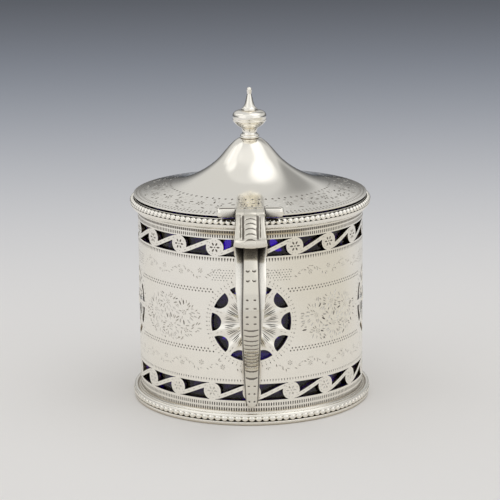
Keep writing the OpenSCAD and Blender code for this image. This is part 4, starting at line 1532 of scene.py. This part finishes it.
def lug_mesh(lid, side):
    """One of the lid's knuckles, round at its outer end, with its leaf."""
    flange = lid_line(lid)[1]
    edge_z = lid.low + lid.edge
    inner_r = lid.radius - lid.lug_reach
    skin = flange[flange[:, 0] > inner_r] + (0, 0.03)
    z_in = edge_z + 0.19 * lid.lug_reach
    r, end, hole = lid.knuckle_r + 0.1, lid.lug_out, lid.pin_r + FIT
    gathered = Gatherer()
    profile = joined(
        [(hole, lid.lug_in), (r - 0.08, lid.lug_in), (r, lid.lug_in + 0.08)],
        curve((r, end - 1.7), (r, end - 0.6), (r - 0.35, end), (r - 0.8, end), 12),
        [(hole, end), (hole, lid.lug_in)],
    )
    kinds = np.zeros((len(profile) - 1, LUG_STEPS), int)
    # A painted dark reflection: the line takes the cut colour
    kinds[LUG_SHADE_LINE] = CUT
    gathered.add(*about_hinge(lid, profile, LUG_STEPS), kinds.ravel())
    outline = joined(
        [(lid.hinge_r - 0.9, lid.hinge_z + 0.85)],
        curve((lid.hinge_r - 1.3, lid.hinge_z + 0.72), (lid.hinge_r - 2.4, lid.hinge_z + 0.35),
              (lid.radius - 1.0, edge_z + lid.lug_t + 0.3), (inner_r, z_in + 0.25), 12),
        [(inner_r, skin[0, 1] + 0.08)],
        skin,
        [(lid.radius + 0.15, edge_z + 0.08), (lid.hinge_r - 0.85, lid.hinge_z - 1.05)],
    )[::-1]
    first, last = lid.lug_in + 0.3, lid.lug_out - 1.1
    half = (last - first) / 2
    rows = block(outline, columns_across(9, 0.14), lambda z: np.full_like(z, half), None, 0.2)
    rows[..., 0] += (first + last) / 2
    reach = np.hypot(rows[..., 0], rows[..., 1])
    floor = np.interp(reach, flange[:, 0], flange[:, 1]) + 0.03
    rows[..., 2] = np.where(reach < lid.radius, np.maximum(rows[..., 2], floor), rows[..., 2])
    gathered.add(*loft(rows))
    verts = np.concatenate(gathered.verts) * (side, 1, 1)
    return make_mesh("lid_lug", verts, gathered.faces, 40.0, gathered.kinds)


def pin_mesh(lid):
    """The hinge pin, with slightly domed ends."""
    end, r = lid.pin_end, lid.pin_r
    profile = [(0, -end), (r * 0.6, -end + 0.02), (r, -end + 0.15)]
    profile = np.array(profile + [(a, -b) for a, b in profile[::-1]])
    return make_mesh("hinge_pin", *about_hinge(lid, profile, 32))


def finial_profile(lid):
    """Section of the finial: stem, waist, bowl, cushion, disc and spire."""
    z0 = lid.collar_top
    ridge = np.array([lid.knop, z0 + lid.waist_h + lid.bowl])
    top_z = ridge[1] + lid.cushion
    tip_z = lid.top - lid.tip
    bottom = lid.nut_low - 0.3
    return joined(
        [(0, bottom), (lid.stem, bottom), (lid.stem, z0)],
        curve((lid.waist + 0.15, z0), (lid.waist - 0.15, z0 + 0.5), (lid.waist - 0.1, z0 + 1.1),
              (lid.waist + 0.25, z0 + lid.waist_h), 12),
        curve((lid.waist + 0.25, z0 + lid.waist_h), (lid.waist + 1.1, z0 + lid.waist_h + 0.5),
              ridge - (0.5, 1), ridge, 20),
        [ridge + (0, 0.12), ridge + (-0.16, 0.25)],
        curve(ridge + (-0.16, 0.3), ridge + (0.35, 1.5), ridge + (-0.35, lid.cushion),
              (lid.disc, top_z - 0.1), 28),
        [(lid.disc - 0.1, top_z), (lid.disc, top_z + 0.12), (lid.disc - 0.05, top_z + 0.4)],
        curve((lid.disc - 0.05, top_z + 0.4), (lid.disc - 1, top_z + 0.75),
              (lid.tip + 0.35, tip_z - 3), (lid.tip - 0.1, tip_z - 1.2), 24),
        arc((0, tip_z), lid.tip, -20, 90, 16),
    )


def collar_profile(lid):
    """Section of the collar between dome and finial."""
    hole, edge = lid.stem + FIT, (lid.collar_top - lid.seat) / 2
    return joined(
        [(hole, lid.seat), (lid.collar_r - 0.35, lid.seat)],
        arc((lid.collar_r - edge, lid.seat + edge), edge, -60, 60, 16),
        [(lid.collar_r - 0.35, lid.collar_top), (hole, lid.collar_top)],
    )


def nut_profile(lid):
    """Section of the six-sided nut through its corners."""
    hole = (lid.stem + FIT) / math.cos(math.pi / 6)
    return np.array([(hole, lid.nut_low), (lid.nut_r, lid.nut_low),
                     (lid.nut_r, lid.nut_top), (hole, lid.nut_top)])


# Materials


class Wire:
    """One output of a node tree, with arithmetic on it."""

    def __init__(self, tree, socket=None):
        self.tree, self.socket = tree, socket

    def node(self, kind, settings=(), inputs=(), output=0):
        """Adds a node: its settings first, then its inputs as values or wires."""
        node = self.tree.nodes.new(kind)
        for name, value in dict(settings).items():
            setattr(node, name, value)
        for name, value in dict(inputs).items():
            if isinstance(value, Wire):
                self.tree.links.new(value.socket, node.inputs[name])
            else:
                node.inputs[name].default_value = value
        return Wire(self.tree, node.outputs[output] if len(node.outputs) else None)

    def axes(self):
        """The three parts of this vector."""
        return [self.node("ShaderNodeSeparateXYZ", (), {"Vector": self}, k) for k in range(3)]

    def noise(self, scale, detail=2.0):
        """Cloudy values at this place."""
        inputs = {"Vector": self, "Scale": scale, "Detail": detail}
        return self.node("ShaderNodeTexNoise", (), inputs, 0)

    def _math(self, operation, a, b):
        return self.node("ShaderNodeMath", {"operation": operation}, {0: a, 1: b})

    def __add__(self, other):
        return self._math("ADD", self, other)

    def __radd__(self, other):
        return self._math("ADD", other, self)

    def __sub__(self, other):
        return self._math("SUBTRACT", self, other)

    def __rsub__(self, other):
        return self._math("SUBTRACT", other, self)

    def __mul__(self, other):
        return self._math("MULTIPLY", self, other)

    def __rmul__(self, other):
        return self._math("MULTIPLY", other, self)

    def __truediv__(self, other):
        return self._math("DIVIDE", self, other)

    def __rtruediv__(self, other):
        return self._math("DIVIDE", other, self)

    def __pow__(self, other):
        return self._math("POWER", self, other)

    def __rpow__(self, other):
        return self._math("POWER", other, self)

    def smooth(self, low, high):
        """This value eased from nothing at low to all at high."""
        return self.node(
            "ShaderNodeMapRange", {"interpolation_type": "SMOOTHSTEP"},
            {"Value": self, "From Min": low, "From Max": high},
        )

    def scaled(self, colour):
        """A colour times this value."""
        inputs = {0: colour, "Scale": self}
        return self.node("ShaderNodeVectorMath", {"operation": "SCALE"}, inputs)

    def mixed(self, one, other):
        """A colour between two, by this share."""
        inputs = {"Factor": self, 6: one, 7: other}
        return self.node("ShaderNodeMix", {"data_type": "RGBA"}, inputs, 2)


def start_tree(holder):
    """The wire that starts the empty tree of a material or a world."""
    holder.use_nodes = True
    holder.node_tree.nodes.clear()
    return Wire(holder.node_tree)


def new_material(name):
    """A material with an empty tree, the wire that starts it and the place on its object."""
    material = bpy.data.materials.new(name)
    wire = start_tree(material)
    return material, wire, wire.node("ShaderNodeTexCoord", (), (), "Object")


def opaque(colour):
    """A colour with full alpha."""
    return (*colour, 1.0)


def close(wire, inputs):
    """Ends a tree with one Principled surface."""
    surface = wire.node("ShaderNodeBsdfPrincipled", (), inputs)
    wire.node("ShaderNodeOutputMaterial", (), {"Surface": surface})


# The golden band under the rim, in metres: a colour laid by place; it fades to both sides of the
# handle and away from the handle's side, has a soft lower and upper edge, and lies from over the
# frieze to over the rim moulding's lower edge
GOLD_BESIDE, GOLD_TOWARD = (0.011, 0.0165), (0.02, 0.025)
GOLD_SOFT_LOW, GOLD_SOFT_HIGH = 0.0003, 0.0006
GOLD_OVER_FRIEZE, GOLD_OVER_RIM_LOW = 0.0011, 0.0005


def silver_material(name, colour, tarnish_and_shade, roughness, reach, clear, golden_band=None):
    """Silver with faint handling marks; where the sky within reach is less than clear it turns to
    a
    second colour: patina in hollows and, with it, painted shade in corners, coves and under
    overhangs.

    A golden band is a colour laid beside the handle, given as its colour and its lowest and
    highest place.
    """
    material, wire, place = new_material(name)
    cloud, rub = place.noise(70.0, 4.0), place.noise(900.0)
    dull = tuple(c * k for c, k in zip(colour, (0.985, 0.97, 0.945)))
    clean = cloud.mixed(opaque(colour), opaque(dull))
    if golden_band:
        golden, low, high = golden_band
        x, y, z = place.axes()
        beside = 1.0 - (x * x).smooth(*(edge**2 for edge in GOLD_BESIDE))
        beside = beside * (y * -1.0).smooth(*GOLD_TOWARD)
        height = z.smooth(low - GOLD_SOFT_LOW, low + GOLD_SOFT_LOW)
        height = height * (1.0 - z.smooth(high, high + GOLD_SOFT_HIGH))
        clean = (beside * height).mixed(clean, opaque(golden))
    # Patina with painted shade: the base colour turns to the second colour where ambient occlusion
    # finds the sky closed
    open_sky = wire.node("ShaderNodeAmbientOcclusion", {"samples": 8}, {"Distance": reach}, "AO")
    close(wire, {
        "Base Color": open_sky.smooth(*clear).mixed(opaque(tarnish_and_shade), clean),
        "Metallic": 1.0,
        "Roughness": roughness + (cloud - 0.5) * 0.09 + (rub - 0.5) * 0.05,
    })
    return material


def cut_material(name, colour):
    """The graver's cuts, darker where polish has stayed in them. The cut colour also paints shade
    lines on the handle and the knuckles, and this also makes the very dark painted shade inside
    wall and lid.
    """
    material, wire, place = new_material(name)
    lighter = tuple(min(c * 1.5, 1.0) for c in colour)
    close(wire, {
        "Base Color": place.noise(260.0).mixed(opaque(colour), opaque(lighter)),
        "Metallic": 1.0,
        "Roughness": 0.38,
    })
    return material


def glass_material(name, colour):
    """Cobalt glass."""
    material, wire, place = new_material(name)
    deep = tuple(c * 0.9 for c in colour)
    close(wire, {
        "Base Color": place.noise(45.0).mixed(opaque(colour), opaque(deep)),
        "Roughness": 0.03,
        "IOR": 1.5,
        "Transmission Weight": 1.0,
    })
    return material


def shared_materials(finish, strip):
    """The pot's materials, made once; their names keep clear of the record's slots.

    The strip is the lowest and the highest place of the golden band under the rim.
    """
    silver, worn, brown_tarnish_and_shade = finish.silver, finish.worn, finish.tarnish_and_shade
    polish, sheet = finish.polish, finish.sheet
    # Very dark painted shade for the scroll, the strap's side bands and the knuckles, under the
    # lip and the hinge bar
    painted_shade_black = tuple(2.6 * c for c in finish.dull)
    golden_band = (finish.golden, *strip)
    # Second colours: the brownish one is patina in hollows with painted shade in corners and
    # coves; the very dark one is painted shade only
    looks = {
        "polished": (silver_material, silver, brown_tarnish_and_shade, polish, 0.004, (0.1, 0.6)),
        "lid": (silver_material, silver, brown_tarnish_and_shade, polish, 0.0012, (0.1, 0.6)),
        "mouldings": (silver_material, silver, brown_tarnish_and_shade, sheet, 0.002, (0.3, 0.75)),
        "beads": (silver_material, silver, brown_tarnish_and_shade, polish, 0.0008, (0.05, 0.5)),
        # Scroll: very dark painted shade under its lip
        "handle": (silver_material, worn, painted_shade_black, polish, 0.01, (0.4, 0.9)),
        "rib": (silver_material, worn, brown_tarnish_and_shade, polish, 0.004, (0.1, 0.6)),
        # Side bands and knuckles: very dark painted shade under the lip and under the hinge bar
        "bands": (silver_material, silver, painted_shade_black, polish, 0.012, (0.55, 0.95)),
        "engraved": (silver_material, silver, brown_tarnish_and_shade, sheet, 0.004, (0.3, 0.85), golden_band),
        # Inside of wall and lid: painted shade
        "dull": (cut_material, finish.dull),
        "cuts": (cut_material, finish.cut),
        "fine": (cut_material, finish.fine),
        "glass": (glass_material, finish.glass),
    }
    made = {}
    for key, (make, *look) in looks.items():
        name = "mustard_pot_" + key
        made[key] = bpy.data.materials.get(name) or make(name, *look)
    return SimpleNamespace(**made)


# Stage


def floor_material(stage):
    """A pale table that darkens and cools smoothly toward the back; the darkening is painted shade
    for light falling off behind.
    """
    material, wire, place = new_material("table")
    right, back, _ = place.axes()
    away = wire.node("ShaderNodeMath", {"operation": "MAXIMUM"}, {0: back, 1: 0.0001})
    shade = 1.0 / (1.0 + (away / stage.fade) ** 2.2)
    colour = away.smooth(0.0, 0.7).mixed(opaque(stage.near), opaque(stage.far))
    for side, tone in ((1.0, stage.warm), (-1.0, stage.cool)):
        beside = (right * side - back * 0.1).smooth(0.075, 0.13) * (1.0 - back.smooth(0.0, 0.1))
        colour = beside.mixed(colour, opaque(tone))
    close(wire, {
        "Base Color": shade.scaled(colour),
        "Roughness": 0.9,
        "Specular IOR Level": 0.0,
    })
    return material


def add_light(name, place, target, size, power):
    """A soft square light that looks at a target."""
    lamp = bpy.data.lights.new(name, "AREA")
    lamp.shape = "RECTANGLE"
    lamp.size, lamp.size_y = size
    lamp.energy = power
    light = bpy.data.objects.new(name, lamp)
    light.location = place
    light.rotation_euler = (Vector(target) - Vector(place)).to_track_quat("-Z", "Y").to_euler()
    bpy.context.scene.collection.objects.link(light)


def add_camera(stage):
    """The photograph's camera."""
    lens = bpy.data.cameras.new("camera")
    lens.sensor_width = 36.0
    lens.lens = stage.focal * lens.sensor_width
    lens.shift_x = stage.shift
    camera = bpy.data.objects.new("camera", lens)
    tilt = Matrix.Rotation(math.pi / 2 - stage.pitch, 4, "X")
    camera.matrix_world = (
        Matrix.Translation((0, -stage.distance, stage.height))
        @ tilt @ Matrix.Rotation(stage.roll, 4, "Z")
    )
    bpy.context.scene.collection.objects.link(camera)
    bpy.context.scene.camera = camera


# Patches of the room: direction, and squared distances from it between which they fade
SCREEN = (0.35, 0.75, 0.54), 0.01, 0.11
# Windows, each with the share of a setting that it adds
WINDOWS = (
    (((-0.61, 0.14, 0.77), 0.025, 0.085), 1.0, "left"),
    (((-0.75, 0.37, 0.56), 0.012, 0.055), 0.8, "left"),
    (((0.4, 0.06, 0.91), 0.07, 0.24), 1.0, "right"),
)


def add_world(stage):
    """A soft room: pale in front, darker low behind, three window patches and a dark screen."""
    world = bpy.data.worlds.new("surround")
    wire = start_tree(world)
    x, y, z = wire.node("ShaderNodeTexCoord", (), (), "Generated").axes()

    def patch(centre, *edges):
        """One near a direction, nothing away from it."""
        dx, dy, dz = x - centre[0], y - centre[1], z - centre[2]
        return 1.0 - (dx * dx + dy * dy + dz * dz).smooth(*edges)

    ahead = (y * -1.0).smooth(-0.05, 0.4)
    front = stage.front + (x * x).smooth(0.06, 0.3) * (stage.sides - stage.front)
    behind = stage.low + z.smooth(0.05, 0.4) * (stage.middle - stage.low)
    behind = behind * (1.0 - patch(*SCREEN) * stage.screen)
    level = behind + ahead * (front - behind)
    for window, part, side in WINDOWS:
        level = level + patch(*window) * (part * getattr(stage, side))
    surround = wire.node("ShaderNodeBackground", (), {"Color": level.scaled((1.0, 1.0, 1.0))})
    wire.node("ShaderNodeOutputWorld", (), {"Surface": surround})
    bpy.context.scene.world = world


# Operators


class Piece:
    """What every piece operator shares."""

    bl_options = {"REGISTER", "UNDO"}

    def sizes(self, context):
        """The settings, in millimetres, and the materials."""
        settings = context.scene.mustard_pot
        groups = {name: in_mm(getattr(settings, name)) for name, _ in GROUPS[:4]}
        frieze_top = settings.ornament.rim_frieze + settings.ornament.frieze
        strip = (frieze_top + GOLD_OVER_FRIEZE, settings.drum.rim_low + GOLD_OVER_RIM_LOW)
        return SimpleNamespace(**groups, materials=shared_materials(settings.finish, strip))


class MUSTARDPOT_OT_mouldings(Piece, bpy.types.Operator):
    """Turns the foot moulding, the base disc and the rim moulding"""

    bl_idname = "mustard_pot.mouldings"
    bl_label = "Mouldings"

    def execute(self, context):
        s = self.sizes(context)
        d = s.drum
        disc_r = d.radius - d.wall - SOLDER / MM
        disc = [(0, d.foot_edge), (disc_r, d.foot_edge), (disc_r, d.base_top), (0, d.base_top)]
        for name, profile in (
            ("foot_moulding", foot_profile(d)),
            ("base_disc", disc),
            ("rim_moulding", rim_profile(d)),
        ):
            mesh = make_mesh(name, *lathe(profile), 30.0)
            add_piece("visual_" + name, mesh, [s.materials.mouldings], "pot", "silver", name)
        return {"FINISHED"}


class MUSTARDPOT_OT_beads(Piece, bpy.types.Operator):
    """Strings the beads of foot and rim"""

    bl_idname = "mustard_pot.beads"
    bl_label = "Beads"

    def execute(self, context):
        s = self.sizes(context)
        d, o = s.drum, s.ornament
        for name, count, out, radius, z in (
            ("foot_beads", o.foot_beads, d.foot_bead_out, d.foot_bead_r, d.foot_bead_z),
            ("rim_beads", o.rim_beads, d.rim_bead_out, d.rim_bead_r, d.rim_bead_z),
        ):
            mesh = bead_mesh(name, count, d.radius + out, radius, z)
            add_piece("visual_" + name, mesh, [s.materials.beads], "pot", "silver", name)
        return {"FINISHED"}


class MUSTARDPOT_OT_wall(Piece, bpy.types.Operator):
    """Pierces and engraves the drum's wall"""

    bl_idname = "mustard_pot.wall"
    bl_label = "Wall"

    def execute(self, context):
        s = self.sizes(context)
        mesh = drum_mesh(s.drum, s.ornament)
        m = s.materials
        materials = [m.engraved, m.cuts, m.fine, m.dull]
        add_piece("visual_drum_wall", mesh, materials, "pot", "engraved_silver", "drum_wall")
        return {"FINISHED"}


class MUSTARDPOT_OT_liner(Piece, bpy.types.Operator):
    """Blows the glass liner"""

    bl_idname = "mustard_pot.liner"
    bl_label = "Liner"

    def execute(self, context):
        s = self.sizes(context)
        mesh = make_mesh("glass_liner", *lathe(liner_profile(s.drum), 192, False), 40.0)
        add_piece("visual_liner", mesh, [s.materials.glass], "pot", "cobalt_glass", "glass_liner")
        return {"FINISHED"}


class MUSTARDPOT_OT_handle(Piece, bpy.types.Operator):
    """Forges the scroll and the strap of the handle"""

    bl_idname = "mustard_pot.handle"
    bl_label = "Handle"

    def execute(self, context):
        s = self.sizes(context)
        silver = [s.materials.handle, s.materials.cuts]
        scroll = scroll_mesh(s.handle, s.lid, s.drum)
        add_piece("visual_scroll", scroll, silver, "pot", "silver", "handle_scroll")
        strap = strap_mesh(s.handle, s.drum.radius)
        silver = [s.materials.rib, s.materials.cuts, s.materials.bands]
        add_piece("visual_strap", strap, silver, "pot", "silver", "handle_strap")
        return {"FINISHED"}


class MUSTARDPOT_OT_lid(Piece, bpy.types.Operator):
    """Raises the lid and engraves its flange"""

    bl_idname = "mustard_pot.lid"
    bl_label = "Lid"

    def execute(self, context):
        s = self.sizes(context)
        mesh = lid_mesh(s.lid, s.ornament)
        m = s.materials
        materials = [m.lid, m.cuts, m.fine, m.dull]
        add_piece("visual_lid", mesh, materials, "lid", "engraved_silver", "lid_dome")
        return {"FINISHED"}


class MUSTARDPOT_OT_hinge(Piece, bpy.types.Operator):
    """Makes the lid's knuckles and the hinge pin"""

    bl_idname = "mustard_pot.hinge"
    bl_label = "Hinge"

    def execute(self, context):
        s = self.sizes(context)
        # The knuckles and the pin take the bands' silver, with its very dark painted shade
        silver = [s.materials.bands, s.materials.cuts]
        for name, side in (("lid_lug_left", -1), ("lid_lug_right", 1)):
            add_piece("visual_" + name, lug_mesh(s.lid, side), silver, "lid", "silver", name)
        add_piece("visual_hinge_pin", pin_mesh(s.lid), silver, "lid", "silver", "hinge_pin")
        return {"FINISHED"}


class MUSTARDPOT_OT_finial(Piece, bpy.types.Operator):
    """Turns the finial, its collar and its nut"""

    bl_idname = "mustard_pot.finial"
    bl_label = "Finial"

    def execute(self, context):
        s = self.sizes(context)
        silver = [s.materials.polished]
        collar = make_mesh("finial_collar", *lathe(collar_profile(s.lid), 96), 40.0)
        add_piece("visual_collar", collar, silver, "lid", "silver", "finial_collar")
        finial = make_mesh("finial", *lathe(finial_profile(s.lid), 128, False), 40.0)
        add_piece("visual_finial", finial, silver, "lid", "silver", "finial")
        nut = make_mesh("finial_nut", *lathe(nut_profile(s.lid), 6, True, math.pi / 6), 30.0)
        add_piece("visual_nut", nut, silver, "lid", "silver", "finial_nut")
        return {"FINISHED"}


class MUSTARDPOT_OT_stage(bpy.types.Operator):
    """Sets the table, the light and the camera"""

    bl_idname = "mustard_pot.stage"
    bl_label = "Stage"
    bl_options = {"REGISTER", "UNDO"}

    def execute(self, context):
        stage = context.scene.mustard_pot.stage
        half = stage.table / 2
        mesh = bpy.data.meshes.new("table")
        corners = [(-half, -half, 0), (half, -half, 0), (half, half, 0), (-half, half, 0)]
        mesh.from_pydata(corners, [], [(0, 1, 2, 3)])
        mesh.materials.append(floor_material(stage))
        floor = bpy.data.objects.new("table", mesh)
        floor.location.z = -TABLE_GAP
        context.scene.collection.objects.link(floor)
        add_light("lamp", (0.0, -0.3, 1.6), (0, 0, 0.06), (2.0, 2.0), stage.lamp)
        add_world(stage)
        add_camera(stage)
        context.scene.view_settings.view_transform = "Standard"
        return {"FINISHED"}


PIECES = (
    MUSTARDPOT_OT_mouldings,
    MUSTARDPOT_OT_beads,
    MUSTARDPOT_OT_wall,
    MUSTARDPOT_OT_liner,
    MUSTARDPOT_OT_handle,
    MUSTARDPOT_OT_lid,
    MUSTARDPOT_OT_hinge,
    MUSTARDPOT_OT_finial,
    MUSTARDPOT_OT_stage,
)


class MUSTARDPOT_PT_panel(bpy.types.Panel):
    """The pot's settings and its pieces"""

    bl_idname = "MUSTARDPOT_PT_panel"
    bl_label = "Mustard Pot"
    bl_space_type = "VIEW_3D"
    bl_region_type = "UI"
    bl_category = "Mustard Pot"

    def draw(self, context):
        settings = context.scene.mustard_pot
        for piece in PIECES:
            self.layout.operator(piece.bl_idname)
        for name, group in GROUPS:
            box = self.layout.box()
            box.label(text=group.__doc__)
            for prop in group.__annotations__:
                box.prop(getattr(settings, name), prop)


CLASSES = (*(group for _, group in GROUPS), MustardPotSettings, *PIECES, MUSTARDPOT_PT_panel)


def register():
    """Makes the classes and the scene's settings known."""
    for cls in CLASSES:
        bpy.utils.register_class(cls)
    bpy.types.Scene.mustard_pot = PointerProperty(type=MustardPotSettings)


def unregister():
    """Takes the settings and the classes away again."""
    del bpy.types.Scene.mustard_pot
    for cls in reversed(CLASSES):
        bpy.utils.unregister_class(cls)


def main():
    """Builds the pot and its stage."""
    register()
    bpy.ops.mustard_pot.mouldings()
    bpy.ops.mustard_pot.beads()
    bpy.ops.mustard_pot.wall()
    bpy.ops.mustard_pot.liner()
    bpy.ops.mustard_pot.handle()
    bpy.ops.mustard_pot.lid()
    bpy.ops.mustard_pot.hinge()
    bpy.ops.mustard_pot.finial()
    bpy.ops.mustard_pot.stage()


if __name__ == "__main__":
    main()
